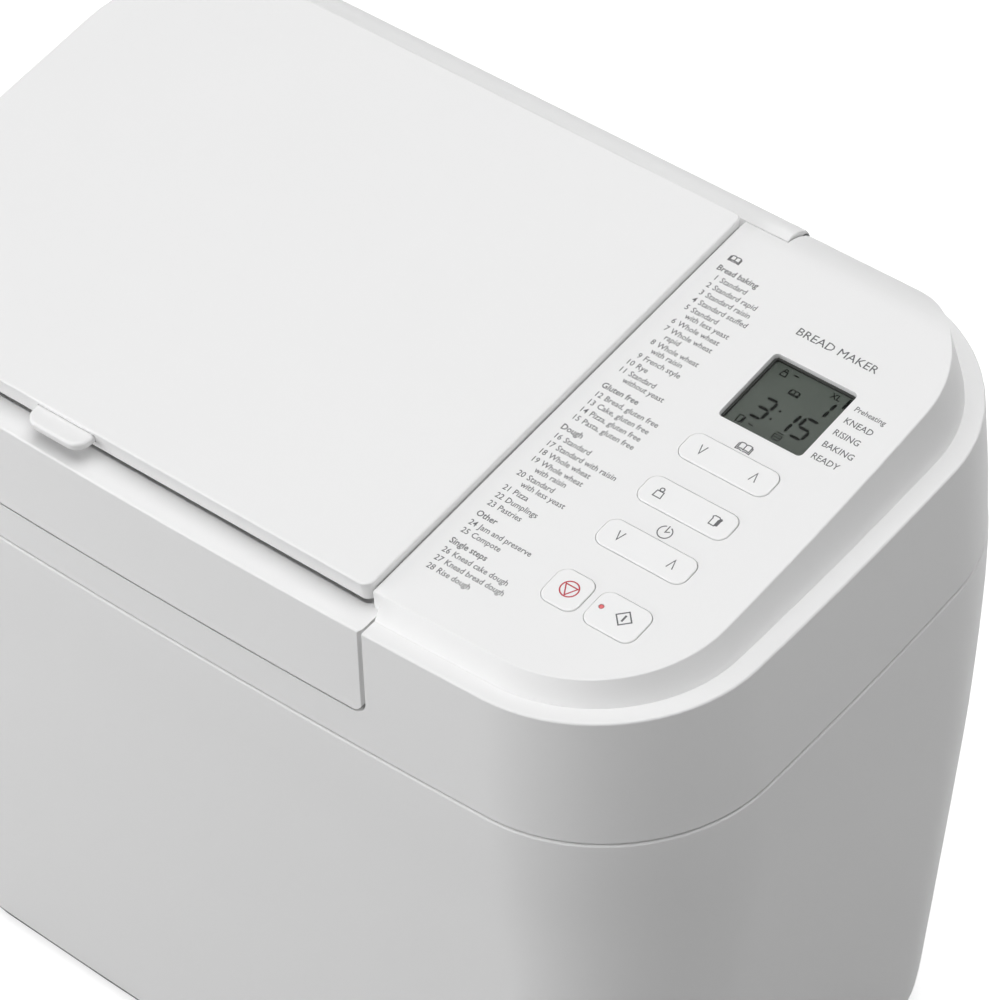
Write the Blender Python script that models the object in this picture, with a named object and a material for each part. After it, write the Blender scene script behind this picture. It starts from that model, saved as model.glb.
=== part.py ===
"""Bread machine with a wide opening lid, a sloping control panel and a kneading drive.

Lengths are in millimetres and are turned into metres where a mesh is made. The machine
stands on its feet at Z = 0, X runs from the lid side to the panel side, and -Y is the front.
"""

import math

import bmesh
import bpy
from mathutils import Matrix, Vector

MM = 0.001
GAP = 0.35  # clearance between pieces that touch on the real machine

# Body outline, measured at the ledge.
HALF_W = 202.0
HALF_D = 124.6
CORNER_R = 65.0
BOW_FRONT = 5.0
BOW_SIDE = 3.7
WALL = 2.6
FRONT_STEEPNESS = 0.7
CORNER_TIGHTENING = 0.7

# Heights.
FOOT_H = 5.0
BASE_Z = 8.0
SEAM_Z = 273.8
LEDGE_Z = 334.0
LID_BOTTOM_Z = 293.5
DECK_Z = 292.1

# Sloping top, shared by the control panel and the top flap.
SLOPE = 0.076
SLOPE_ANGLE = math.atan(SLOPE)
PANEL_Y0 = -112.0
PANEL_Z0 = LEDGE_Z + 8.0
FLAP_RISE = 3.5
PANEL_T = 2.4

# The parting line between the lid and the control panel runs slightly outwards to the rear.
PART_X_FRONT = 78.9
PART_X_REAR = 81.3
LID_RIGHT_X = 82.4
LEDGE_IN_FRONT = 7.3
LEDGE_IN_SIDE = 8.2
PANEL_IN_FRONT = 12.2
PANEL_IN_SIDE = 13.4

# Rear hinge.
HINGE_Y = 106.0
HINGE_Z = LEDGE_Z + 15.5
HINGE_R = 9.5
HINGE_X0 = -158.0
HINGE_X1 = 99.4
HINGE_LEN = HINGE_X1 - HINGE_X0
HINGE_MID_X = (HINGE_X0 + HINGE_X1) / 2
LID_REAR_Y = 95.2
FLAP_FRONT_Y = -113.6
FLAP_REAR_Y = 94.4
FLAP_LEFT_X = -189.0

# Baking chamber and bread pan.
CX = -52.0
CY = -6.0
CHAMBER_W = 222.0
CHAMBER_D = 174.0
CHAMBER_R = 30.0
CHAMBER_TOP_Z = DECK_Z + 1.6
CHAMBER_FLOOR_Z = 98.0
HEATER_Z = CHAMBER_FLOOR_Z + 24.0
PROBE_Z = 196.0
PAN_W = 186.0
PAN_D = 136.0
PAN_R = 26.0
PAN_BOTTOM_Z = 124.0
PAN_TOP_Z = 246.0
EAR_Z = PAN_TOP_Z - 14.0
MOUNT_R = 42.0

# Fruit and nut cup in the lid.
DISPENSER_XY = (CX - 6.0, CY + 2.0)
DISPENSER_SIZE = (92.0, 62.0)

# Lifting tab on the flap's front edge.
TAB_X = -61.0
TAB_W = 27.0
TAB_T = 3.4
TAB_OUT = 8.0
TAB_Z = LEDGE_Z + 7.8
TAB_R = 6.0

# Drive.
SHAFT_R = 4.0
CHASSIS_Z = 52.0
PULLEY_Z = 31.0
PULLEY_H = 11.0
BIG_PULLEY_R = 42.0
SMALL_PULLEY_R = 10.5
MOTOR_X = 118.0
MOTOR_R = 35.0
MOTOR_H = 74.0

# Cord gland in the rear wall.
GLAND_X = 128.0
GLAND_Z = 30.0

# Control panel details.
KEY_X = 145.6
KEY_W = 38.2
KEY_D = 12.6
KEY_R = 4.2
KEY_RISE = 0.45
KEY_ROWS = (("menu_key", 0.2), ("size_key", -23.0), ("timer_key", -46.2))
STOP_KEY = (133.8, -74.4, 15.2, 15.8)
START_KEY = (155.2, -74.4, 21.4, 15.8)
LED_XY = (147.8, -73.5)
LCD_XY = (146.0, 33.7)
LCD_SIZE = (34.9, 33.6)
LCD_DEPTH = 3.1


# ---------------------------------------------------------------- mesh helpers

def clear_scene():
    for obj in list(bpy.data.objects):
        bpy.data.objects.remove(obj, do_unlink=True)


def linear(channel):
    return channel / 12.92 if channel <= 0.04045 else ((channel + 0.055) / 1.055) ** 2.4


def material(name, hex_color, roughness, metallic=0.0, alpha=1.0):
    mat = bpy.data.materials.get(name)
    if mat:
        return mat
    mat = bpy.data.materials.new(name)
    mat.use_nodes = True
    shader = mat.node_tree.nodes["Principled BSDF"]
    color = [linear(int(hex_color[i:i + 2], 16) / 255) for i in (0, 2, 4)] + [1.0]
    shader.inputs["Base Color"].default_value = color
    shader.inputs["Roughness"].default_value = roughness
    shader.inputs["Metallic"].default_value = metallic
    shader.inputs["Alpha"].default_value = alpha
    mat.diffuse_color = color
    return mat


MATERIALS = {
    "white_plastic": ("EDEDEC", 0.38, 0.0),
    "white_key": ("F1F1F0", 0.36, 0.0),
    "dark_plastic": ("2B2C2E", 0.55, 0.0),
    "grey_plastic": ("8A8C8E", 0.5, 0.0),
    "aluminium": ("C9CACB", 0.35, 1.0),
    "steel": ("A9ABAD", 0.3, 1.0),
    "nonstick": ("35363A", 0.5, 0.0),
    "rubber": ("242424", 0.8, 0.0),
    "silicone": ("C6C6C2", 0.7, 0.0),
    "copper_winding": ("8C5A36", 0.45, 0.8),
    "circuit_board": ("2F5A3C", 0.6, 0.0),
    "display": ("5C635C", 0.3, 0.0),
    "lens": ("7F867E", 0.12, 0.0),
    "red_light": ("D03A34", 0.3, 0.0),
}


def finish(name, bm, mat_name, pivot=(0.0, 0.0, 0.0), parent=None):
    """Turns a bmesh in millimetres into a named object whose origin is the pivot."""
    bmesh.ops.remove_doubles(bm, verts=bm.verts, dist=1e-4)
    bmesh.ops.recalc_face_normals(bm, faces=bm.faces)
    origin = Vector(pivot)
    for vert in bm.verts:
        vert.co = (vert.co - origin) * MM
    mesh = bpy.data.meshes.new(name)
    bm.to_mesh(mesh)
    bm.free()
    obj = bpy.data.objects.new(name, mesh)
    obj.location = origin * MM
    bpy.context.scene.collection.objects.link(obj)
    obj.data.materials.append(material(mat_name, *MATERIALS[mat_name]))
    if parent:
        obj.parent = parent
        obj.matrix_parent_inverse = Matrix.Translation(-parent.location)
    return obj


def cutter(bm, name="cutter"):
    """A closed helper mesh for a Boolean, never part of the model."""
    obj = finish(name, bm, "grey_plastic")
    obj.hide_render = True
    obj.display_type = "WIRE"
    return obj


def boolean(obj, other, operation="DIFFERENCE"):
    modifier = obj.modifiers.new(other.name, "BOOLEAN")
    modifier.operation = operation
    modifier.solver = "EXACT"
    modifier.object = other
    return obj


def axis_empty(name, location):
    """An empty on a joint's axis, the parent of the pieces that move together."""
    empty = bpy.data.objects.new(name, None)
    empty.location = Vector(location) * MM
    empty.empty_display_size = 0.02
    bpy.context.scene.collection.objects.link(empty)
    return empty


def loft(rings, bm=None):
    """Skins rings of equal length and caps both ends."""
    bm = bm or bmesh.new()
    rows = [[bm.verts.new(point) for point in ring] for ring in rings]
    count = len(rows[0])
    for low, high in zip(rows, rows[1:]):
        for i in range(count):
            j = (i + 1) % count
            bm.faces.new((low[i], low[j], high[j], high[i]))
    bm.faces.new(rows[0][::-1])
    bm.faces.new(rows[-1])
    return bm


def box(low, high, bm=None):
    bm = bm or bmesh.new()
    x0, y0, z0 = low
    x1, y1, z1 = high
    corners = ((x0, y0), (x1, y0), (x1, y1), (x0, y1))
    return loft([[(x, y, z) for x, y in corners] for z in (z0, z1)], bm)


def rounded_rect(width, depth, radius, steps=5, center=(0.0, 0.0)):
    """Points of a rounded rectangle in plan, counter-clockwise."""
    points = []
    radius = min(radius, width / 2 - 0.01, depth / 2 - 0.01)
    for quarter in range(4):
        sx = 1 if quarter in (0, 3) else -1
        sy = 1 if quarter in (0, 1) else -1
        for i in range(steps + 1):
            angle = math.pi / 2 * (quarter + i / steps)
            x = sx * (width / 2 - radius) + radius * math.cos(angle)
            y = sy * (depth / 2 - radius) + radius * math.sin(angle)
            points.append((x + center[0], y + center[1]))
    return points


def prism(plan, z0, z1, bm=None):
    return loft([[(x, y, z) for x, y in plan] for z in (z0, z1)], bm)


def lathe(profile, center=(0.0, 0.0), segments=32, bm=None):
    """Turns a closed (radius, z) profile about a vertical axis; radius 0 closes on the axis."""
    bm = bm or bmesh.new()
    rows = []
    for radius, z in profile:
        if radius < 1e-6:
            rows.append([bm.verts.new((center[0], center[1], z))] * segments)
            continue
        row = []
        for i in range(segments):
            angle = 2 * math.pi * i / segments
            row.append(bm.verts.new((
                center[0] + radius * math.cos(angle), center[1] + radius * math.sin(angle), z)))
        rows.append(row)
    closed = profile[0][0] > 1e-6 and profile[-1][0] > 1e-6
    pairs = list(zip(rows, rows[1:])) + ([(rows[-1], rows[0])] if closed else [])
    for low, high in pairs:
        for i in range(segments):
            j = (i + 1) % segments
            corners = []
            for vert in (low[i], low[j], high[j], high[i]):
                if vert not in corners:
                    corners.append(vert)
            if len(corners) > 2:
                bm.faces.new(corners)
    return bm


def turned(bm, axis, center):
    """Turns a lathed bmesh, made upright at the origin, so that it lies along X or Y."""
    turns = {"X": Matrix.Rotation(math.pi / 2, 4, "Y"), "Y": Matrix.Rotation(-math.pi / 2, 4, "X")}
    bmesh.ops.transform(bm, matrix=Matrix.Translation(center) @ turns[axis], verts=bm.verts)
    return bm


def cylinder(radius, z0, z1, center=(0.0, 0.0), segments=24, bm=None):
    return lathe([(0, z0), (radius, z0), (radius, z1), (0, z1)], center, segments, bm)


def tube(path, radius, sides=8):
    """Sweeps a circle along a path of points, with flat ends."""
    points = [Vector(p) for p in path]
    rings = []
    up = Vector((0, 0, 1))
    for i, point in enumerate(points):
        before = points[max(i - 1, 0)]
        after = points[min(i + 1, len(points) - 1)]
        along = (after - before).normalized()
        side = along.cross(up)
        if side.length < 1e-3:
            side = Vector((1, 0, 0))
        side.normalize()
        other = side.cross(along).normalized()
        up = other
        ring = []
        for k in range(sides):
            angle = 2 * math.pi * k / sides
            ring.append(point + radius * (math.cos(angle) * side + math.sin(angle) * other))
        rings.append(ring)
    return loft(rings)


def panel_z(y):
    """Height of the sloping control panel at this depth."""
    return PANEL_Z0 + SLOPE * (y - PANEL_Y0)


def part_x(y, shift=0.0):
    """The parting line between the lid and the panel."""
    share = (y + 110.0) / 206.0
    return PART_X_FRONT + (PART_X_REAR - PART_X_FRONT) * share + shift


def body_plan(inset_side=0.0, inset_front=None, front_taper=0.0, steps=9, long=5, short=3):
    """The machine's outline in plan, moved inwards: rounded corners and slightly bowed sides.

    front_taper moves the front back out and tightens its two corners.
    """
    inset_front = inset_side if inset_front is None else inset_front
    half_w = HALF_W - inset_side
    half_d = HALF_D - inset_front
    radius = max(CORNER_R - (inset_side + inset_front) / 2, 8.0)
    front = (half_d + front_taper, radius - CORNER_TIGHTENING * front_taper)
    rear = (half_d, radius)
    corners = ((1, -1, -90, *front), (1, 1, 0, *rear), (-1, 1, 90, *rear), (-1, -1, 180, *front))
    points = []
    for index, (sx, sy, start, half, radius) in enumerate(corners):
        for i in range(steps + 1):
            angle = math.radians(start + 90 * i / steps)
            points.append((sx * (half_w - radius) + radius * math.cos(angle),
                           sy * (half - radius) + radius * math.sin(angle)))
        count = short if index % 2 == 0 else long
        nx, ny, _, half, radius = corners[(index + 1) % 4]
        angle = math.radians(start + 90)
        first = points[-1]
        last = (nx * (half_w - radius) + radius * math.cos(angle),
                ny * (half - radius) + radius * math.sin(angle))
        for i in range(1, count):
            share = i / count
            points.append((first[0] + (last[0] - first[0]) * share,
                           first[1] + (last[1] - first[1]) * share))
    bowed = []
    for x, y in points:
        bowed.append((x - BOW_SIDE * (y / HALF_D) ** 2 * (x / HALF_W),
                      y - BOW_FRONT * (x / HALF_W) ** 2 * (y / HALF_D)))
    return bowed


def body_ring(z, inset_side=0.0, inset_front=None, front_taper=0.0):
    """One level of the outline; z is a height or a function of depth."""
    plan = body_plan(inset_side, inset_front, front_taper)
    return [(x, y, z(y) if callable(z) else z) for x, y in plan]


def shell_ring(z, inset, wall=0.0):
    """One level of the lower shell, whose front is steeper than its sides and rear."""
    return body_ring(z, inset + wall, front_taper=FRONT_STEEPNESS * max(inset, 0.0))


def side_of_parting(x_shift, y0, y1, z0, z1, right, bm=None):
    """A block on one side of the parting line, for a Boolean."""
    near = part_x(y0, x_shift)
    far = part_x(y1, x_shift)
    edge = 400.0 if right else -400.0
    plan = [(near, y0), (edge, y0), (edge, y1), (far, y1)]
    if not right:
        plan = plan[::-1]
    return prism(plan, z0, z1, bm)


# ---------------------------------------------------------------- housing

# Inset of the lower shell at each height: it bulges under the seam and tapers to the base.
SHELL_LEVELS = (
    (BASE_Z, 24.5), (14.0, 22.6), (50.0, 18.2), (90.0, 13.6), (140.0, 7.9), (180.0, 3.6),
    (215.0, 0.6), (245.0, -1.4), (266.0, -2.2), (SEAM_Z - 1.2, -2.2), (SEAM_Z - GAP, -1.4),
)


def shell_inset(z):
    """Inset of the lower shell's outside at a height between two levels."""
    for (z0, a), (z1, b) in zip(SHELL_LEVELS, SHELL_LEVELS[1:]):
        if z <= z1:
            return a + (b - a) * (z - z0) / (z1 - z0)
    return SHELL_LEVELS[-1][1]


def make_body_shell():
    outer = [shell_ring(z, inset) for z, inset in SHELL_LEVELS]
    inner = [shell_ring(z, inset, WALL) for z, inset in SHELL_LEVELS]
    bm = bmesh.new()
    rings = outer + inner[::-1]
    rows = [[bm.verts.new(point) for point in ring] for ring in rings]
    count = len(rows[0])
    for index, low in enumerate(rows):
        high = rows[(index + 1) % len(rows)]
        for i in range(count):
            j = (i + 1) % count
            bm.faces.new((low[i], low[j], high[j], high[i]))
    shell = finish("body_shell", bm, "white_plastic")
    gland = turned(lathe([(0, -20), (9.0, -20), (9.0, 20), (0, 20)], segments=24), "Y",
                   (GLAND_X, gland_y(), GLAND_Z))
    boolean(shell, cutter(gland, "cut_gland"))
    for row in range(6):
        z = 46.0 + 8.0 * row
        slot = box((60.0, 80.0, z), (104.0, 130.0, z + 3.2))
        boolean(shell, cutter(slot, f"cut_vent_{row}"))
    return shell


def gland_y():
    """Outside of the rear wall at the cord gland."""
    inset = shell_inset(GLAND_Z)
    return (HALF_D - inset) - BOW_FRONT * (GLAND_X / HALF_W) ** 2 * (HALF_D - inset) / HALF_D


def make_top_housing():
    levels = (
        (SEAM_Z + GAP, -1.2), (SEAM_Z + 1.6, -2.0), (SEAM_Z + 20.0, -1.7), (LEDGE_Z - 20.0, -0.9),
        (LEDGE_Z - 1.6, 0.0), (LEDGE_Z - 0.5, 0.4), (LEDGE_Z, 1.3),
    )
    housing = finish("top_housing", loft([body_ring(z, inset) for z, inset in levels]),
                     "white_plastic")
    lid_bay = box((-300, -300, DECK_Z), (LID_RIGHT_X + 0.5, LID_REAR_Y + 0.6, 400))
    edges = [e for e in lid_bay.edges
             if all(abs(v.co.x - LID_RIGHT_X - 0.5) < 0.1 and v.co.z < 300 for v in e.verts)]
    bmesh.ops.bevel(lid_bay, geom=edges, offset=7.0, segments=5, profile=0.5, affect="EDGES")
    boolean(housing, cutter(lid_bay, "cut_lid_bay"))
    rear = box((-300, LID_REAR_Y - 5, LEDGE_Z - 9), (HINGE_X1 + 0.6, 300, 400))
    boolean(housing, cutter(rear, "cut_rear_step"))
    under_deck = loft([body_ring(z, WALL - 1.6) for z in (SEAM_Z - 5, DECK_Z - 3.0)])
    boolean(housing, cutter(under_deck, "cut_under_deck"))
    right = loft([body_ring(z, WALL + 0.6) for z in (SEAM_Z - 5, LEDGE_Z - 3.0)])
    keep = cutter(box((LID_RIGHT_X + 3.3, -300, SEAM_Z - 4), (300, 300, LEDGE_Z - 3.4)), "keep_right")
    right_cut = cutter(right, "cut_right_bay")
    boolean(right_cut, keep, "INTERSECT")
    boolean(housing, right_cut)
    rear_bay = loft([body_ring(z, WALL + 0.6) for z in (SEAM_Z - 5, LEDGE_Z - 12.0)])
    rear_cut = cutter(rear_bay, "cut_rear_bay")
    keep_rear = box((-300, LID_REAR_Y + 3.6, SEAM_Z - 4), (LID_RIGHT_X + 10, 300, LEDGE_Z - 12.6))
    boolean(rear_cut, cutter(keep_rear, "keep_rear"), "INTERSECT")
    boolean(housing, rear_cut)
    opening = prism(rounded_rect(CHAMBER_W + 1.2, CHAMBER_D + 1.2, CHAMBER_R, 6, (CX, CY)),
                    SEAM_Z - 5, 330)
    boolean(housing, cutter(opening, "cut_chamber_mouth"))
    panel_hole = loft([body_ring(z, 17.0) for z in (LEDGE_Z - 8, LEDGE_Z + 5)])
    hole_cut = cutter(panel_hole, "cut_panel_hole")
    keep_panel = box((LID_RIGHT_X + 6.0, -300, LEDGE_Z - 7), (300, 92, LEDGE_Z + 4))
    boolean(hole_cut, cutter(keep_panel, "keep_panel_hole"), "INTERSECT")
    boolean(housing, hole_cut)
    # The ear that carries the lid's left hinge pin.
    x0 = HINGE_X0 - 9.0
    x1 = HINGE_X0 - 1.0
    ear = box((x0, HINGE_Y - 7.0, LEDGE_Z - 11.0), (x1, HINGE_Y + 7.0, HINGE_Z + 7.0))
    tops = [e for e in ear.edges if all(v.co.z > HINGE_Z for v in e.verts)
            and abs(e.verts[0].co.y - e.verts[1].co.y) < 0.1]
    bmesh.ops.bevel(ear, geom=tops, offset=5.5, segments=5, profile=0.5, affect="EDGES")
    boolean(housing, cutter(ear, "join_ear"), "UNION")
    bore = turned(lathe([(0, -15), (3.3, -15), (3.3, 15), (0, 15)], segments=20), "X",
                  ((x0 + x1) / 2, HINGE_Y, HINGE_Z))
    boolean(housing, cutter(bore, "cut_ear_bore"))


def make_control_panel():
    inner_front = PANEL_IN_FRONT
    inner_side = PANEL_IN_SIDE
    rings = [
        body_ring(LEDGE_Z + GAP, LEDGE_IN_SIDE, LEDGE_IN_FRONT),
        body_ring(LEDGE_Z + 1.2, LEDGE_IN_SIDE + 0.2, LEDGE_IN_FRONT + 0.2),
        body_ring(lambda y: panel_z(y) - 1.5, inner_side - 1.0, inner_front - 0.9),
        body_ring(lambda y: panel_z(y) - 0.4, inner_side - 0.3, inner_front - 0.2),
        body_ring(panel_z, inner_side + 0.9, inner_front + 1.0),
    ]
    panel = finish("control_panel", loft(rings), "white_plastic")
    keep = side_of_parting(0.0, -130.0, 130.0, 300, 400, True)
    boolean(panel, cutter(keep, "keep_panel"), "INTERSECT")
    notch = box((60.0, HINGE_Y - HINGE_R - 0.8, 300), (HINGE_X1 + 0.6, 200, 400))
    boolean(panel, cutter(notch, "cut_hinge_notch"))
    lid_side = box((0.0, -200.0, 300), (LID_RIGHT_X + 0.6, -111.6, 400))
    boolean(panel, cutter(lid_side, "cut_lid_ledge"))
    hollow = [
        body_ring(LEDGE_Z - 5.0, LEDGE_IN_SIDE + 2.4, LEDGE_IN_FRONT + 2.4),
        body_ring(LEDGE_Z + 1.0, LEDGE_IN_SIDE + 2.5, LEDGE_IN_FRONT + 2.5),
        body_ring(lambda y: panel_z(y) - PANEL_T, inner_side + 1.6, inner_front + 1.4),
    ]
    inside = cutter(loft(hollow), "cut_panel_inside")
    keep_inside = side_of_parting(6.0, -130.0, HINGE_Y - HINGE_R - 3.4, 300, 400, True)
    boolean(inside, cutter(keep_inside, "keep_panel_inside"), "INTERSECT")
    boolean(panel, inside)
    behind = cutter(loft(hollow), "cut_panel_behind")
    keep_behind = box((HINGE_X1 + 3.0, HINGE_Y - HINGE_R - 4.0, 300), (300, 200, 400))
    boolean(behind, cutter(keep_behind, "keep_panel_behind"), "INTERSECT")
    boolean(panel, behind)
    window = on_panel(prism(rounded_rect(LCD_SIZE[0], LCD_SIZE[1], 3.0, 4), -6, 6), *LCD_XY)
    boolean(panel, cutter(window, "cut_window"))
    for name, x, y, width, depth in key_layout():
        hole = prism(rounded_rect(width + 0.8, depth + 0.8, KEY_R + 0.4, 5), -6, 6)
        boolean(panel, cutter(on_panel(hole, x, y), "cut_" + name))
    return panel


# ---------------------------------------------------------------- control panel pieces

def on_panel(bm, x, y, lift=0.0):
    """Moves a bmesh made flat at the origin onto the sloping panel."""
    place = Matrix.Translation((x, y, panel_z(y))) @ Matrix.Rotation(SLOPE_ANGLE, 4, "X")
    bmesh.ops.transform(bm, matrix=place @ Matrix.Translation((0, 0, lift)), verts=bm.verts)
    return bm


def key_layout():
    rows = [(name, KEY_X, y, KEY_W, KEY_D) for name, y in KEY_ROWS]
    return rows + [("stop_key",) + STOP_KEY, ("start_key",) + START_KEY]


def make_keys():
    for name, x, y, width, depth in key_layout():
        levels = (
            (-4.6, 0.7), (-3.5, 0.7), (-3.4, 0.0), (KEY_RISE - 0.5, 0.0), (KEY_RISE - 0.12, -0.2),
            (KEY_RISE, -0.8),
        )
        rings = []
        for z, grow in levels:
            plan = rounded_rect(width + 2 * grow, depth + 2 * grow, KEY_R + grow, 5)
            rings.append([(px, py, z) for px, py in plan])
        pivot = (x, y, panel_z(y))
        empty = axis_empty(name + "_axis", pivot)
        key = finish(name, on_panel(loft(rings), x, y), "white_key", pivot, empty)
        if name == "start_key":
            hole = cylinder(1.9, -8, 8, segments=16)
            boolean(key, cutter(on_panel(hole, *LED_XY), "cut_led"))
    led = cylinder(1.5, -7.0, KEY_RISE, segments=16)
    finish("start_led", on_panel(led, *LED_XY), "red_light")


def make_display():
    lens = prism(rounded_rect(LCD_SIZE[0] - 0.7, LCD_SIZE[1] - 0.7, 2.7, 4),
                 -LCD_DEPTH + 0.35, -LCD_DEPTH + 1.15)
    finish("display_lens", on_panel(lens, *LCD_XY), "lens")
    module = prism(rounded_rect(44.0, 41.0, 2.0, 2), -8.4, -LCD_DEPTH)
    finish("display_module", on_panel(module, *LCD_XY), "display")
    board = prism(rounded_rect(64.0, 140.0, 3.0, 2), -11.4, -9.8)
    finish("control_board", on_panel(board, KEY_X - 5.0, -14.0), "circuit_board")


# ---------------------------------------------------------------- base and electrical pieces

def make_base():
    rim = SHELL_LEVELS[0][1]
    base = finish("base_plate", loft([shell_ring(BASE_Z - 2.6, rim, 1.5), shell_ring(BASE_Z - GAP, rim, 0.7)]),
                  "dark_plastic")
    for row in range(7):
        slot = prism(rounded_rect(34.0, 3.0, 1.4, 3, (MOTOR_X, -24.0 + 8.0 * row)), 0, 20)
        boolean(base, cutter(slot, f"cut_base_vent_{row}"))
    for index, (x, y) in enumerate(foot_places()):
        foot = lathe([(0, 0), (9.0, 0), (10.0, 1.0), (9.4, FOOT_H), (0, FOOT_H)], (x, y), 24)
        finish(f"foot_{index + 1}", foot, "rubber")
        sx, sy = (x * 0.86, y * 0.62)
        screw = lathe([(0, 3.2), (1.1, 2.2), (3.4, 2.6), (3.6, 5.0), (1.6, 5.05), (1.6, 16.0),
                       (0, 17.2)], (sx, sy), 16)
        hole = cylinder(1.95, 0, 20, (sx, sy), 16)
        boolean(base, cutter(hole, f"cut_screw_{index}"))
        finish(f"base_screw_{index + 1}", screw, "steel")


def foot_places():
    return [(sx * 138.0, sy * 72.0) for sx in (-1, 1) for sy in (-1, 1)]


def make_chassis():
    """A pressed bracket on legs: it carries the drive bearing and the motor."""
    plate = prism(rounded_rect(260.0, 92.0, 14.0, 4, (26.0, CY)),
                  CHASSIS_Z, CHASSIS_Z + 2.0)
    chassis = finish("drive_bracket", plate, "steel")
    for index, (x, y) in enumerate(((CX - 41, CY - 38), (CX - 41, CY + 38),
                                    (MOTOR_X + 28, CY - 38), (MOTOR_X + 28, CY + 38))):
        leg = cylinder(5.0, BASE_Z + 0.1, CHASSIS_Z + 1.0, (x, y), 12)
        boolean(chassis, cutter(leg, f"join_leg_{index}"), "UNION")
    for index, (x, radius) in enumerate(((CX, 6.4), (MOTOR_X, 8.0))):
        hole = cylinder(radius, CHASSIS_Z - 10, CHASSIS_Z + 10, (x, CY), 20)
        boolean(chassis, cutter(hole, f"cut_bracket_{index}"))
    bearing = lathe([(SHAFT_R + GAP, CHASSIS_Z + 2.35), (15.0, CHASSIS_Z + 2.35),
                     (15.0, CHASSIS_Z + 6.0), (10.0, CHASSIS_Z + 7.5),
                     (10.0, CHAMBER_FLOOR_Z - 2.0), (SHAFT_R + GAP, CHAMBER_FLOOR_Z - 2.0)],
                    (CX, CY), 24)
    finish("shaft_bearing", bearing, "aluminium")


def make_motor():
    z0 = CHASSIS_Z + 2.4
    profile = [(SHAFT_R, z0), (MOTOR_R - 6, z0), (MOTOR_R - 6, z0 + 8), (MOTOR_R, z0 + 10),
               (MOTOR_R, z0 + MOTOR_H - 16), (MOTOR_R - 7, z0 + MOTOR_H - 13),
               (MOTOR_R - 7, z0 + MOTOR_H - 4), (10, z0 + MOTOR_H - 2), (10, z0 + MOTOR_H + 3),
               (0, z0 + MOTOR_H + 3), (0, z0 + 34), (SHAFT_R, z0 + 34)]
    finish("motor", lathe(profile, (MOTOR_X, CY), 28), "steel")
    shaft = cylinder(SHAFT_R - GAP, PULLEY_Z - 4, z0 + 33, (MOTOR_X, CY), 16)
    finish("motor_shaft", shaft, "steel", (MOTOR_X, CY, PULLEY_Z))


def pulley_profile(radius, bore, teeth_height=PULLEY_H):
    half = teeth_height / 2
    return [(bore, -half), (radius + 2.0, -half), (radius + 2.0, -half + 1.2),
            (radius, -half + 1.6), (radius, half - 1.6), (radius + 2.0, half - 1.2),
            (radius + 2.0, half), (bore, half)]


def make_pulleys():
    for name, x, radius, bore in (("drive_pulley", CX, BIG_PULLEY_R, SHAFT_R + GAP),
                                  ("motor_pulley", MOTOR_X, SMALL_PULLEY_R, SHAFT_R)):
        profile = [(r, z + PULLEY_Z) for r, z in pulley_profile(radius, bore)]
        wheel = finish(name, lathe(profile, (x, CY), 40 if radius > 20 else 24), "grey_plastic",
                       (x, CY, PULLEY_Z))
        if radius > 20:
            for spoke in range(6):
                angle = math.radians(60 * spoke)
                hole = cylinder(8.5, 0, 60, (x + 25 * math.cos(angle), CY + 25 * math.sin(angle)), 14)
                boolean(wheel, cutter(hole, f"cut_pulley_{spoke}"))
    finish("drive_belt", belt_loop(), "rubber")


def belt_loop():
    """A closed belt round both pulleys, just clear of them."""
    inner = []
    outer = []
    span = MOTOR_X - CX
    lean = math.asin((BIG_PULLEY_R - SMALL_PULLEY_R) / span)
    for x, radius, start, stop, count in (
            (CX, BIG_PULLEY_R, math.pi / 2 - lean, 3 * math.pi / 2 + lean, 24),
            (MOTOR_X, SMALL_PULLEY_R, -math.pi / 2 + lean, math.pi / 2 - lean, 12)):
        for i in range(count + 1):
            angle = start + (stop - start) * i / count
            for ring, extra in ((inner, 0.4), (outer, 2.0)):
                ring.append((x + (radius + extra) * math.cos(angle),
                             CY + (radius + extra) * math.sin(angle)))
    bm = bmesh.new()
    half = PULLEY_H / 2 - 2.2
    rings = [(inner, -half), (outer, -half), (outer, half), (inner, half)]
    rows = [[bm.verts.new((x, y, PULLEY_Z + z)) for x, y in ring] for ring, z in rings]
    count = len(rows[0])
    for index, low in enumerate(rows):
        high = rows[(index + 1) % 4]
        for i in range(count):
            j = (i + 1) % count
            bm.faces.new((low[i], low[j], high[j], high[i]))
    return bm


def make_electrics():
    shield = box((LID_RIGHT_X - 4.0, -84.0, 66.0), (LID_RIGHT_X - 2.8, 78.0, SEAM_Z - 6.0))
    finish("heat_shield", shield, "aluminium")
    board = box((LID_RIGHT_X + 24.0, 82.0, 120.0), (176.0, 83.6, 218.0))
    finish("power_board", board, "circuit_board")
    case = prism(rounded_rect(44.0, 24.0, 4.0, 3, (MOTOR_X + 4.0, -66.0)), 10.0, 44.0)
    finish("motor_capacitor", case, "grey_plastic")
    y = gland_y()
    gland = lathe([(0, -12), (6.0, -12), (8.4, -9.5), (8.4, 1.2), (12.5, 1.2), (12.0, 4.2),
                   (6.0, 6.0), (6.0, 1.0), (0, 1.0)], segments=24)
    finish("cord_gland", turned(gland, "Y", (GLAND_X, y + 0.6, GLAND_Z)), "dark_plastic")


# ---------------------------------------------------------------- baking chamber

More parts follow.
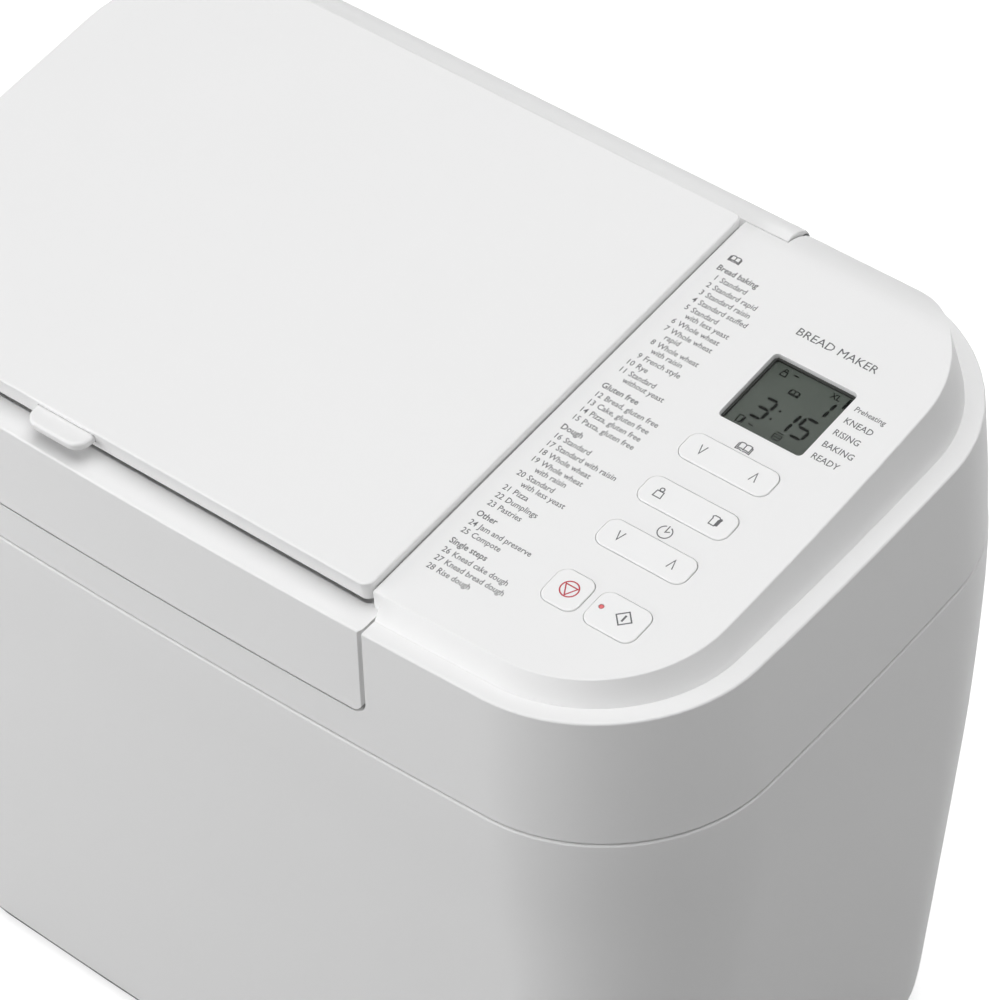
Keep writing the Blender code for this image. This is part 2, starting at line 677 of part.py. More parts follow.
def cup(width, depth, radius, z_floor, z_top, wall, taper, flange, steps=6, floor=None):
    """An open-topped tray in one closed body, with a rim that turns out by `flange`."""
    floor = wall if floor is None else floor
    z_rim = z_top - wall
    levels = [
        (z_floor, -taper - 3.0), (z_floor + 3.0, -taper), (z_rim, 0.0), (z_rim, flange),
        (z_top, flange), (z_top, -wall), (z_floor + floor + 2.4, -taper - wall),
        (z_floor + floor, -taper - wall - 2.4),
    ]
    rings = []
    for z, grow in levels:
        plan = rounded_rect(width + 2 * grow, depth + 2 * grow, radius + grow, steps, (CX, CY))
        rings.append([(x, y, z) for x, y in plan])
    return loft(rings)


def make_chamber():
    chamber = finish("oven_chamber", cup(CHAMBER_W, CHAMBER_D, CHAMBER_R, CHAMBER_FLOOR_Z - 1.4,
                                         CHAMBER_TOP_Z, 1.2, 2.0, 4.5), "aluminium")
    boolean(chamber, cutter(cylinder(6.5, 80, 120, (CX, CY), 20), "cut_shaft_way"))
    right_x = CX + CHAMBER_W / 2
    for index, y in enumerate((-12.0, 12.0)):
        hole = turned(lathe([(0, -20), (3.9, -20), (3.9, 20), (0, 20)], segments=16), "X",
                      (right_x, CY + y, HEATER_Z))
        boolean(chamber, cutter(hole, f"cut_heater_{index}"))
    probe_hole = turned(lathe([(0, -20), (3.4, -20), (3.4, 20), (0, 20)], segments=16), "X",
                        (right_x, CY + 48.0, PROBE_Z))
    boolean(chamber, cutter(probe_hole, "cut_probe"))
    probe = turned(lathe([(0, -16), (2.2, -16), (2.9, -14), (2.9, 1.6), (6.5, 1.6), (6.5, 5.0),
                          (3.0, 5.0), (3.0, 12.0), (0, 12.0)], segments=16), "X",
                   (right_x + 0.8, CY + 48.0, PROBE_Z))
    finish("temperature_probe", probe, "steel")
    finish("heating_element", tube(heater_path(), 3.2, 8), "steel")
    mount = finish("pan_mount", lathe([
        (MOUNT_R - 26, CHAMBER_FLOOR_Z + 0.3), (MOUNT_R + 9, CHAMBER_FLOOR_Z + 0.3),
        (MOUNT_R + 9, CHAMBER_FLOOR_Z + 2.3), (MOUNT_R + 2.4, CHAMBER_FLOOR_Z + 2.8),
        (MOUNT_R + 2.4, CHAMBER_FLOOR_Z + 16), (MOUNT_R, CHAMBER_FLOOR_Z + 16),
        (MOUNT_R, CHAMBER_FLOOR_Z + 2.6), (MOUNT_R - 26, CHAMBER_FLOOR_Z + 2.6)], (CX, CY), 36),
        "aluminium")
    return mount


def heater_path():
    """The element enters through the wall by the panel, runs round the chamber and leaves again."""
    half_w = CHAMBER_W / 2 - 9.5
    half_d = CHAMBER_D / 2 - 9.5
    out = CX + CHAMBER_W / 2 + 13.0
    loop = rounded_rect(2 * half_w, 2 * half_d, 22.0, 6, (CX, CY))
    # The loop starts at the rear half of the wall by the panel and ends at its front half.
    turn = 5.0
    path = [(out, CY + 12.0, HEATER_Z), (CX + half_w + turn, CY + 12.0, HEATER_Z),
            (CX + half_w + 1.2, CY + 13.2, HEATER_Z), (CX + half_w, CY + 12.0 + turn, HEATER_Z)]
    path += [(x, y, HEATER_Z) for x, y in loop]
    path += [(CX + half_w, CY - 12.0 - turn, HEATER_Z), (CX + half_w + 1.2, CY - 13.2, HEATER_Z),
             (CX + half_w + turn, CY - 12.0, HEATER_Z), (out, CY - 12.0, HEATER_Z)]
    return path


# ---------------------------------------------------------------- drive shaft, pan and blade

def dog(z0, z1, bore_z, shaft_below, name, mat, pivot):
    """A hub with two wings; the shaft enters it from one end."""
    if shaft_below:
        profile = [(SHAFT_R + GAP, z0), (11.0, z0), (11.0, z1), (0, z1), (0, bore_z),
                   (SHAFT_R + GAP, bore_z)]
    else:
        profile = [(0, z0), (11.0, z0), (11.0, z1), (SHAFT_R + GAP, z1),
                   (SHAFT_R + GAP, bore_z), (0, bore_z)]
    hub = finish(name, lathe(profile, (CX, CY), 24), mat, pivot)
    for index, side in enumerate((-1, 1)):
        wing = box((CX + side * 9.0 - 3, CY - 3.5, z0 + 0.8), (CX + side * 9.0 + 3, CY + 3.5, z1 - 0.8))
        bmesh.ops.transform(wing, matrix=Matrix.Translation((side * 4.0, 0, 0)), verts=wing.verts)
        boolean(hub, cutter(wing, f"join_{name}_{index}"), "UNION")
    return hub


def make_drive():
    floor = CHAMBER_FLOOR_Z
    shaft = lathe([(0, PULLEY_Z - 9), (SHAFT_R, PULLEY_Z - 9), (SHAFT_R, floor + 12.0),
                   (0, floor + 12.0)], (CX, CY), 20)
    finish("drive_shaft", shaft, "steel", (CX, CY, floor))
    dog(floor + 5.0, floor + 14.6, floor + 12.4, True, "drive_coupling", "grey_plastic",
        (CX, CY, floor))


def make_pan():
    pan = finish("bread_pan", cup(PAN_W, PAN_D, PAN_R, PAN_BOTTOM_Z, PAN_TOP_Z, 1.6, 4.0, 3.6),
                 "nonstick", (CX, CY, PAN_BOTTOM_Z))
    boolean(pan, cutter(cylinder(8.6, PAN_BOTTOM_Z - 5, PAN_BOTTOM_Z + 8, (CX, CY), 24), "cut_pan"))
    z0 = CHAMBER_FLOOR_Z + 3.4
    skirt = [(MOUNT_R - 3.0, z0), (MOUNT_R - 0.8, z0), (MOUNT_R - 0.8, PAN_BOTTOM_Z - 2.4),
             (MOUNT_R + 5.0, PAN_BOTTOM_Z - GAP), (MOUNT_R - 8.0, PAN_BOTTOM_Z - GAP),
             (MOUNT_R - 3.0, PAN_BOTTOM_Z - 3.4)]
    finish("pan_base_ring", lathe(skirt, (CX, CY), 36), "aluminium", (CX, CY, PAN_BOTTOM_Z))
    seal = [(SHAFT_R + GAP, PAN_BOTTOM_Z - 4.6), (12.0, PAN_BOTTOM_Z - 4.6),
            (12.0, PAN_BOTTOM_Z - GAP), (8.2, PAN_BOTTOM_Z - GAP), (8.2, PAN_BOTTOM_Z + 6.0),
            (SHAFT_R + GAP, PAN_BOTTOM_Z + 6.0)]
    finish("pan_bushing", lathe(seal, (CX, CY), 24), "aluminium", (CX, CY, PAN_BOTTOM_Z))
    for name, side in (("pan_ear_left", -1), ("pan_ear_right", 1)):
        x = CX + side * (PAN_W / 2 + 0.35)
        plate = box((min(x, x + side * 2.0), CY - 10, PAN_TOP_Z - 26),
                    (max(x, x + side * 2.0), CY + 10, PAN_TOP_Z - 4))
        ear = finish(name, plate, "steel", (CX, CY, PAN_BOTTOM_Z))
        stud = turned(lathe([(0, -3.6), (2.6, -3.6), (2.6, 3.6), (0, 3.6)], segments=14), "X",
                      (CX + side * (PAN_W / 2 + 4.3), CY, EAR_Z))
        boolean(ear, cutter(stud, f"join_{name}"), "UNION")


def make_handle():
    """A wire bail, folded down towards the rear of the pan."""
    half = PAN_W / 2 + 5.6
    arm = PAN_D / 2 + 7.0
    bend = 12.0
    z = EAR_Z
    lift = 4.0
    path = []
    for side in (-1, 1):
        run = [(side * half, 0.0, 0.0), (side * half, arm * 0.5, lift * 0.5),
               (side * half, arm - bend, lift)]
        for i in range(1, 5):
            angle = math.pi / 2 * i / 4
            run.append((side * (half - bend + bend * math.cos(angle)),
                        arm - bend + bend * math.sin(angle), lift))
        path += run if side < 0 else run[::-1]
    wire = tube([(CX + x, CY + y, z + dz) for x, y, dz in path], 1.6, 8)
    handle = finish("pan_handle", wire, "steel", (CX, CY, z))
    for index, side in enumerate((-1, 1)):
        eye = turned(lathe([(0, -1.3), (5.6, -1.3), (5.6, 1.3), (0, 1.3)], segments=18), "X",
                     (CX + side * half, CY, z))
        boolean(handle, cutter(eye, f"join_eye_{index}"), "UNION")
    for index, side in enumerate((-1, 1)):
        bore = turned(lathe([(0, -6), (3.0, -6), (3.0, 6), (0, 6)], segments=18), "X",
                      (CX + side * half, CY, z))
        boolean(handle, cutter(bore, f"cut_eye_{index}"))


def make_blade():
    floor = PAN_BOTTOM_Z
    pivot = (CX, CY, floor)
    shaft = cylinder(SHAFT_R, CHAMBER_FLOOR_Z + 18.4, floor + 22.0, (CX, CY), 20)
    finish("blade_shaft", shaft, "steel", pivot)
    dog(CHAMBER_FLOOR_Z + 15.4, floor - 5.0, CHAMBER_FLOOR_Z + 18.0, False, "pan_coupling",
        "grey_plastic", pivot)
    hub = [(SHAFT_R + GAP, floor + 6.6), (9.0, floor + 6.6), (7.6, floor + 25.0),
           (4.0, floor + 26.5), (0, floor + 26.5), (0, floor + 22.6), (SHAFT_R + GAP, floor + 22.6)]
    blade = finish("kneading_blade", lathe(hub, (CX, CY), 24), "nonstick", pivot)
    fin = [(5.5, 7.0), (44.0, 7.0), (50.0, 12.0), (50.0, 18.0), (40.0, 27.0), (20.0, 31.0),
           (7.0, 25.0)]
    bm = bmesh.new()
    rows = [[bm.verts.new((CX + x, CY + y, floor + z)) for x, z in fin] for y in (-2.0, 2.0)]
    for i in range(len(fin)):
        j = (i + 1) % len(fin)
        bm.faces.new((rows[0][i], rows[0][j], rows[1][j], rows[1][i]))
    bm.faces.new(rows[0][::-1])
    bm.faces.new(rows[1])
    boolean(blade, cutter(bm, "join_fin"), "UNION")


# ---------------------------------------------------------------- lid and top flap

def make_lid():
    lid_axis = axis_empty("lid_axis", (CX, HINGE_Y, HINGE_Z))
    pivot = (CX, HINGE_Y, HINGE_Z)
    levels = (
        (LID_BOTTOM_Z, 0.4), (LID_BOTTOM_Z + 0.8, -0.6), (LID_BOTTOM_Z + 2.2, -1.4),
        (LEDGE_Z - 20.0, -0.9), (LEDGE_Z - 1.6, 0.0), (LEDGE_Z - 0.5, 0.4), (LEDGE_Z, 1.3),
    )
    lid = finish("lid_frame", loft([body_ring(z, inset) for z, inset in levels]), "white_plastic",
                 pivot, lid_axis)
    keep = box((-300, -300, 200), (LID_RIGHT_X, LID_REAR_Y, 400))
    low = [e for e in keep.edges
           if all(abs(v.co.x - LID_RIGHT_X) < 0.1 for v in e.verts)
           and (abs(e.verts[0].co.z - e.verts[1].co.z) > 10 and e.verts[0].co.y < 0)]
    bmesh.ops.bevel(keep, geom=low, offset=2.5, segments=4, profile=0.5, affect="EDGES")
    boolean(lid, cutter(keep, "keep_lid"), "INTERSECT")
    # Behind its front band the lid is narrower, so that it swings up past the panel's edge.
    beside_panel = side_of_parting(-0.9, -111.0, 130.0, 200, 400, True)
    boolean(lid, cutter(beside_panel, "cut_beside_panel"))
    corner = box((LID_RIGHT_X - 7.0, -300, LID_BOTTOM_Z - 20), (LID_RIGHT_X + 7, 300, LID_BOTTOM_Z + 7))
    round_off = turned(lathe([(0, -200), (7.0, -200), (7.0, 200), (0, 200)], segments=32), "Y",
                       (LID_RIGHT_X - 7.0, 0, LID_BOTTOM_Z + 7.0))
    corner_cut = cutter(corner, "cut_lid_corner")
    boolean(corner_cut, cutter(round_off, "keep_lid_corner"))
    boolean(lid, corner_cut)
    hollow = loft([body_ring(z, WALL + 1.0) for z in (LID_BOTTOM_Z - 5, LEDGE_Z - 3.0)])
    hollow_cut = cutter(hollow, "cut_lid_inside")
    keep_hollow = box((-300, -300, LID_BOTTOM_Z - 4), (LID_RIGHT_X - 7.2, LID_REAR_Y - 3, LEDGE_Z - 3.2))
    boolean(hollow_cut, cutter(keep_hollow, "keep_lid_inside"), "INTERSECT")
    boolean(lid, hollow_cut)
    # A web under the hinge roll.
    right_end = PART_X_REAR - 6.0
    web = box((HINGE_X0 + 4, LID_REAR_Y - 2.5, LEDGE_Z - 7.4), (right_end, HINGE_Y - 0.5, LEDGE_Z - 0.2))
    boolean(lid, cutter(web, "join_web"), "UNION")
    rib = box((HINGE_X0 + 4, LID_REAR_Y, LEDGE_Z - 6.4), (right_end, HINGE_Y - 0.5, LEDGE_Z + 5.5))
    boolean(lid, cutter(rib, "join_rib"), "UNION")
    roll_room = turned(lathe([(0, -160), (HINGE_R + GAP, -160), (HINGE_R + GAP, 160), (0, 160)],
                             segments=40), "X", (HINGE_MID_X, HINGE_Y, HINGE_Z))
    boolean(lid, cutter(roll_room, "cut_roll_room"))
    # The fruit dispenser hangs through the deck.
    hole = prism(rounded_rect(*DISPENSER_SIZE, 12.0, 5, DISPENSER_XY), LEDGE_Z - 10, LEDGE_Z + 10)
    boolean(lid, cutter(hole, "cut_dispenser"))
    vents = [(CX + 78.0, CY - 30.0 + 10.0 * i) for i in range(7)]
    for index, (x, y) in enumerate(vents):
        slot = prism(rounded_rect(16.0, 3.2, 1.5, 3, (x, y)), LEDGE_Z - 10, LEDGE_Z + 10)
        boolean(lid, cutter(slot, f"cut_steam_{index}"))
    roll = [(3.2, -HINGE_LEN / 2), (HINGE_R - 0.8, -HINGE_LEN / 2), (HINGE_R, -HINGE_LEN / 2 + 0.8),
            (HINGE_R, HINGE_LEN / 2 - 0.8), (HINGE_R - 0.8, HINGE_LEN / 2), (3.2, HINGE_LEN / 2)]
    roll = turned(lathe(roll, segments=32), "X", (HINGE_MID_X, HINGE_Y, HINGE_Z))
    finish("hinge_roll", roll, "white_plastic", pivot, lid_axis)
    for name, x0, x1 in (("hinge_pin_left", HINGE_X0 - 12.0, HINGE_X0 + 22.0),
                         ("hinge_pin_right", HINGE_X1 - 22.0, HINGE_X1 + 0.2)):
        length = x1 - x0
        pin = turned(lathe([(0, -length / 2), (2.8, -length / 2), (2.8, length / 2), (0, length / 2)],
                           segments=20), "X", ((x0 + x1) / 2, HINGE_Y, HINGE_Z))
        finish(name, pin, "steel")
    plate = finish("lid_inner_plate", inner_plate_mesh(), "aluminium", pivot, lid_axis)
    inner_hole = prism(rounded_rect(DISPENSER_SIZE[0] + 0.8, DISPENSER_SIZE[1] + 0.8, 12.0, 5,
                                    DISPENSER_XY), 250, 330)
    boolean(plate, cutter(inner_hole, "cut_inner_plate"))
    for index, (x, y) in enumerate(vents[1::2]):
        slot = prism(rounded_rect(14.0, 3.0, 1.4, 3, (x, y)), 250, 330)
        boolean(plate, cutter(slot, f"cut_inner_steam_{index}"))
    seal = bmesh.new()
    z0 = CHAMBER_TOP_Z + GAP
    rows = []
    for grow, z in ((-2.0, z0), (3.0, z0), (3.6, z0 + 3.4), (-1.4, z0 + 3.4)):
        plan = rounded_rect(CHAMBER_W + 2 * grow, CHAMBER_D + 2 * grow, CHAMBER_R + grow, 6, (CX, CY))
        rows.append([seal.verts.new((x, y, z)) for x, y in plan])
    for index, first in enumerate(rows):
        second = rows[(index + 1) % 4]
        for i in range(len(first)):
            j = (i + 1) % len(first)
            seal.faces.new((first[i], first[j], second[j], second[i]))
    finish("lid_seal", seal, "silicone", pivot, lid_axis)
    return lid_axis


def inner_plate_mesh():
    """A pressed cover inside the lid, dished into the chamber's mouth and clear of the seal."""
    z0 = CHAMBER_TOP_Z + GAP + 3.4 + GAP
    levels = ((z0 + 1.2, 3.4), (z0, 3.4), (z0, -3.2), (z0 - 3.0, -6.0), (z0 - 1.8, -7.0),
              (z0 + 1.2, -4.0))
    bm = bmesh.new()
    rows = []
    for z, grow in levels:
        plan = rounded_rect(CHAMBER_W + 2 * grow, CHAMBER_D + 2 * grow, CHAMBER_R + grow, 6, (CX, CY))
        rows.append([bm.verts.new((x, y, z)) for x, y in plan])
    bottom, floor = rows[3], rows[4]
    bands = list(zip(rows[:3], rows[1:4])) + [(floor, rows[5]), (rows[5], rows[0])]
    for low, high in bands:
        for i in range(len(low)):
            j = (i + 1) % len(low)
            bm.faces.new((low[i], low[j], high[j], high[i]))
    bm.faces.new(bottom)
    bm.faces.new(floor)
    return bm


def make_dispenser(lid_axis):
    """The fruit and nut cup in the lid, and the flap that lets it fall into the pan."""
    pivot = (CX, HINGE_Y, HINGE_Z)
    x, y = DISPENSER_XY
    width, depth = DISPENSER_SIZE
    z_top = LEDGE_Z + 5.0
    z_low = CHAMBER_TOP_Z + 6.2
    levels = ((z_low, -2.6), (z_top - 4.6, -1.0), (z_top - 4.6, 4.0), (z_top - 3.4, 4.0),
              (z_top - 3.4, -2.4), (z_low, -4.0))
    bm = bmesh.new()
    rows = []
    for z, grow in levels:
        plan = rounded_rect(width + 2 * grow, depth + 2 * grow, 12.0 + grow, 5, (x, y))
        rows.append([bm.verts.new((px, py, z)) for px, py in plan])
    for index, first in enumerate(rows):
        second = rows[(index + 1) % len(rows)]
        for i in range(len(first)):
            j = (i + 1) % len(first)
            bm.faces.new((first[i], first[j], second[j], second[i]))
    finish("fruit_cup", bm, "nonstick", pivot, lid_axis)
    hinge = (x, y + depth / 2 - 4.0, z_low - 1.9)
    door_axis = axis_empty("fruit_door_axis", hinge)
    door = prism(rounded_rect(width - 5.6, depth - 5.6, 9.0, 5, (x, y)), z_low - 2.0, z_low - 0.5)
    finish("fruit_door", door, "aluminium", hinge, door_axis)


def make_flap():
    """The big cover over the dispenser: a shell whose top follows the panel's slope."""
    axis = axis_empty("flap_axis", (CX, HINGE_Y, HINGE_Z))
    pivot = (CX, HINGE_Y, HINGE_Z)

    def top(y, drop=0.0):
        return PANEL_Z0 + FLAP_RISE + SLOPE * (y - PANEL_Y0) - drop

    def plan(inset, inset_front):
        x0 = FLAP_LEFT_X + inset
        y0 = FLAP_FRONT_Y + inset_front
        y1 = FLAP_REAR_Y - inset
        corners = []
        specs = ((part_x(y0, -1.0) - inset, y0, -90, 5.0), (part_x(y1, -1.0) - inset, y1, 0, 4.0),
                 (x0, y1, 90, 52.0), (x0, y0, 180, 52.0))
        for cx, cy, start, radius in specs:
            radius = max(radius - inset, 1.0)
            sx = -1 if cx > 0 else 1
            sy = 1 if cy < 0 else -1
            for i in range(7):
                angle = math.radians(start + 90 * i / 6)
                corners.append((cx + sx * radius + radius * math.cos(angle),
                                cy + sy * radius + radius * math.sin(angle)))
        return corners

    low = LEDGE_Z + 0.8
    outer = [
        [(x, y, low) for x, y in plan(1.0, 1.9)],
        [(x, y, low + 4.0) for x, y in plan(0.4, 0.7)],
        [(x, y, top(y, 4.6)) for x, y in plan(0.0, 0.0)],
        [(x, y, top(y, 1.6)) for x, y in plan(0.2, 0.25)],
        [(x, y, top(y, 0.45)) for x, y in plan(0.8, 0.9)],
        [(x, y, top(y)) for x, y in plan(2.0, 2.2)],
    ]
    inner = [
        [(x, y, top(y, 2.4)) for x, y in plan(3.2, 3.8)],
        [(x, y, low) for x, y in plan(3.2, 3.8)],
    ]
    bm = bmesh.new()
    rows = [[bm.verts.new(p) for p in ring] for ring in outer]
    inside = [[bm.verts.new(p) for p in ring] for ring in inner]
    count = len(rows[0])
    bands = list(zip(rows, rows[1:])) + [(inside[0], inside[1]), (inside[1], rows[0])]
    for first, second in bands:
        for i in range(count):
            j = (i + 1) % count
            bm.faces.new((first[i], first[j], second[j], second[i]))
    bm.faces.new(rows[-1])
    bm.faces.new(inside[0])
    flap = finish("top_flap", bm, "white_plastic", pivot, axis)
    slot = box((TAB_X - TAB_W / 2 - 0.4, FLAP_FRONT_Y - 5, TAB_Z - TAB_T / 2 - 0.4),
               (TAB_X + TAB_W / 2 + 0.4, FLAP_FRONT_Y + 8, TAB_Z + TAB_T / 2 + 0.4))
    boolean(flap, cutter(slot, "cut_tab_slot"))
    front = FLAP_FRONT_Y - TAB_OUT
    back = FLAP_FRONT_Y + 9.0
    half = TAB_W / 2
    outline = [(TAB_X - half, back)]
    for side in (-1, 1):
        for i in range(7):
            angle = math.pi / 2 * (i / 6 if side < 0 else 1 - i / 6)
            outline.append((TAB_X + side * (half - TAB_R + TAB_R * math.cos(angle)),
                            front + TAB_R - TAB_R * math.sin(angle)))
    outline.append((TAB_X + half, back))
    tab = prism(outline, TAB_Z - TAB_T / 2, TAB_Z + TAB_T / 2)
    finish("flap_tab", tab, "white_plastic", pivot, axis)



def main():
    clear_scene()
    make_body_shell()
    make_top_housing()
    make_control_panel()
    make_keys()
    make_display()
    make_base()
    make_chassis()
    make_motor()
    make_pulleys()
    make_electrics()
    make_chamber()
    make_drive()
    make_pan()
    make_handle()
    make_blade()
    lid_axis = make_lid()
    make_dispenser(lid_axis)
    make_flap()


main()
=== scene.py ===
"""Bread machine: the visible shells, prints, display and finishes around the packed frame.

Lengths inside the mesh helpers are millimetres and are scaled once, where a mesh is made.
"""

import math

import bmesh
import bpy
from bpy.props import FloatProperty, FloatVectorProperty, PointerProperty
from mathutils import Matrix, Vector


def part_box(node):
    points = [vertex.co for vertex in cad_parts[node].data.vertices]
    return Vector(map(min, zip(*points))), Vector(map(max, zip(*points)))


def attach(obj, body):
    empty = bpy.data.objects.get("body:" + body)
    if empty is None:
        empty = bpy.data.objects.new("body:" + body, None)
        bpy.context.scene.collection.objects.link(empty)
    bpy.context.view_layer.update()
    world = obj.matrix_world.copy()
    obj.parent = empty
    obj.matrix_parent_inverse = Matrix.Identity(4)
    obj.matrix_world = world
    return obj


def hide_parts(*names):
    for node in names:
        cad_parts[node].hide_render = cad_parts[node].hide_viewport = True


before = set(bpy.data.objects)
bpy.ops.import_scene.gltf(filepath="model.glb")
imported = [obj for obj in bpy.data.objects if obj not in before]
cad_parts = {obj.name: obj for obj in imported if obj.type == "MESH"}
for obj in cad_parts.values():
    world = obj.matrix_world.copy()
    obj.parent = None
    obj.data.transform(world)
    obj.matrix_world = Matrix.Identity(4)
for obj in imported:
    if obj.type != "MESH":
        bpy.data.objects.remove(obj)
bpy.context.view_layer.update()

bl_info = {
    "name": "Bread Machine Looks",
    "version": (1, 0, 0),
    "blender": (4, 5, 0),
    "location": "View3D > Sidebar > Bread Machine",
    "description": "Builds the moulded shells, keys, display, prints and finishes of a bread machine",
    "category": "Object",
}

MM = 0.001


def frame_mm(node):
    """Lowest and highest corner of a frame node, in millimetres."""
    low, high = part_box(node)
    return low / MM, high / MM


# ------------------------------------------------------------------ sizes read from the frame

SHELL_LOW, SHELL_HIGH = frame_mm("body_shell")
PANEL_LOW, PANEL_HIGH = frame_mm("control_panel")
LID_LOW = frame_mm("lid_frame")[0]
ROLL_LOW, ROLL_HIGH = frame_mm("hinge_roll")
CHAMBER_LOW, CHAMBER_HIGH = frame_mm("oven_chamber")
PAN_LOW, PAN_HIGH = frame_mm("bread_pan")

GAP = 0.35
SHELL_BULGE = 2.2
SEAM_Z = SHELL_HIGH.z + GAP
BASE_Z = SHELL_LOW.z
LEDGE_Z = PANEL_LOW.z - GAP
HALF_W = SHELL_HIGH.x - SHELL_BULGE
HALF_D = 124.6
HINGE_Y = (ROLL_LOW.y + ROLL_HIGH.y) / 2
HINGE_Z = (ROLL_LOW.z + ROLL_HIGH.z) / 2
HINGE_R = (ROLL_HIGH.z - ROLL_LOW.z) / 2
CX = (PAN_LOW.x + PAN_HIGH.x) / 2
CY = (PAN_LOW.y + PAN_HIGH.y) / 2


def linear(channel):
    return channel / 12.92 if channel <= 0.04045 else ((channel + 0.055) / 1.055) ** 2.4


def srgb(hex_color):
    """Linear colour of an sRGB hex value."""
    return tuple(linear(int(hex_color[i:i + 2], 16) / 255) for i in (0, 2, 4))


# ------------------------------------------------------------------ settings a user would change

def length(label, note, default):
    """A length in millimetres, as a property."""
    return FloatProperty(name=label, description=note, default=default, min=0.0, precision=2)


def tint(label, note, hex_color):
    """A colour given as sRGB hex, kept linear."""
    return FloatVectorProperty(name=label, description=note, default=srgb(hex_color), size=3,
                               subtype="COLOR", min=0.0, max=1.0)


class ShellSizes(bpy.types.PropertyGroup):
    """Outline and wall sizes of the moulded shells, in millimetres."""

    corner_radius: length("Corner radius", "Plan radius of the body's corners", 65.0)
    bow_front: length("Front bow", "How far the long sides bow outwards", 5.0)
    bow_side: length("Side bow", "How far the short sides bow outwards", 3.7)
    front_steepness: FloatProperty(name="Front steepness", default=0.7, min=0.0, max=1.0,
                                   description="Share of the taper that the front leaves out")
    corner_tightening: FloatProperty(name="Corner tightening", default=0.7, min=0.0, max=1.5,
                                     description="How the front corners tighten towards the base")
    rear_radius: length("Rear radius", "How far the panel's rear edge is rolled down", 24.0)
    wall: length("Wall", "Thickness of the moulded walls", 2.6)
    slope: FloatProperty(name="Slope", description="Rise of the top per unit of depth",
                         default=0.076, min=0.0, max=0.5)
    panel_front_z: length("Panel front height", "Height of the panel at its front edge", 342.0)
    panel_front_y: FloatProperty(name="Panel front", description="Depth of the panel's front edge",
                                 default=-112.0)
    flap_rise: length("Flap rise", "How far the flap stands above the panel", 3.5)
    parting_front: length("Parting at the front", "X of the lid's edge at the front", 78.9)
    parting_rear: length("Parting at the rear", "X of the lid's edge at the rear", 81.3)


class PrintSizes(bpy.types.PropertyGroup):
    """The printed programme list and signs, in millimetres."""

    list_x: length("Names", "Left edge of the programme names", 91.1)
    list_y: length("First line", "Depth of the list's first heading", 72.6)
    text_size: length("Text size", "Type size of the list", 3.5)
    heading_size: length("Heading size", "Type size of the headings", 3.7)
    row: length("Row", "Pitch between two entries", 4.23)
    second_row: length("Second row", "Drop to an entry's second line", 3.55)
    heading_gap: length("Heading gap", "Drop from an entry to the next heading", 5.75)
    heading_row: length("Heading row", "Drop from a heading to its first entry", 4.55)
    stroke: length("Stroke", "Line width of the printed signs", 0.42)
    ink: length("Ink", "Thickness of the printed ink", 0.03)


class Colours(bpy.types.PropertyGroup):
    """Main colours of the machine."""

    body: tint("Body", "Moulded white plastic", "EFEFEF")
    key: tint("Keys", "White key caps", "F1F1F1")
    ink: tint("Ink", "Grey printing ink", "646466")
    stop_ink: tint("Stop ink", "Red printing ink", "B8283A")
    display: tint("Display", "Face of the liquid crystal display", "666D66")


def watts(label, default):
    return FloatProperty(name=label, description="Power of this softbox", default=default, min=0.0,
                         unit="POWER")


class StageSettings(bpy.types.PropertyGroup):
    """Camera, light and floor."""

    lens: FloatProperty(name="Lens", description="Focal length in millimetres", default=180.0)
    overhead: watts("Overhead", 47.5)
    front_left: watts("Front left", 41.5)
    front: watts("Front", 15.0)
    right: watts("Right", 18.8)
    rear: watts("Rear", 12.0)
    high_front: watts("High front", 1.0)
    table_glow: FloatProperty(name="Table glow", default=0.03, min=0.0,
                              description="Strength of the light that the table sends back up")
    floor_size: FloatProperty(name="Floor", description="Radius of the floor", default=6.0,
                              unit="LENGTH")
    floor_glow: FloatProperty(name="Floor glow", default=0.6, min=0.0,
                              description="How strongly the lit shooting table shines")


def shell_sizes():
    return bpy.context.scene.bread_shell


def print_sizes():
    return bpy.context.scene.bread_print


def colours():
    return bpy.context.scene.bread_colours


# ------------------------------------------------------------------ mesh helpers

def skin(rings, loop=False, first=True, last=True, bm=None):
    """Skins closed rings of equal length; either end gets a face, or the last ring joins the first."""
    bm = bm or bmesh.new()
    rows = [[bm.verts.new(point) for point in ring] for ring in rings]
    pairs = list(zip(rows, rows[1:])) + ([(rows[-1], rows[0])] if loop else [])
    for low, high in pairs:
        for i in range(len(low)):
            j = (i + 1) % len(low)
            bm.faces.new((low[i], low[j], high[j], high[i]))
    if first and not loop:
        bm.faces.new(rows[0][::-1])
    if last and not loop:
        bm.faces.new(rows[-1])
    return bm


def turned(profile, segments=64):
    """Turns a (radius, z) profile about a vertical axis; a radius of 0 closes it on the axis."""
    bm = bmesh.new()
    rows = []
    for radius, z in profile:
        if radius < 1e-6:
            rows.append([bm.verts.new((0, 0, z))] * segments)
            continue
        rows.append([bm.verts.new((radius * math.cos(2 * math.pi * i / segments),
                                   radius * math.sin(2 * math.pi * i / segments), z))
                     for i in range(segments)])
    closed = profile[0][0] > 1e-6 and profile[-1][0] > 1e-6
    for low, high in list(zip(rows, rows[1:])) + ([(rows[-1], rows[0])] if closed else []):
        for i in range(segments):
            j = (i + 1) % segments
            corners = []
            for vert in (low[i], low[j], high[j], high[i]):
                if vert not in corners:
                    corners.append(vert)
            if len(corners) > 2:
                bm.faces.new(corners)
    return bm


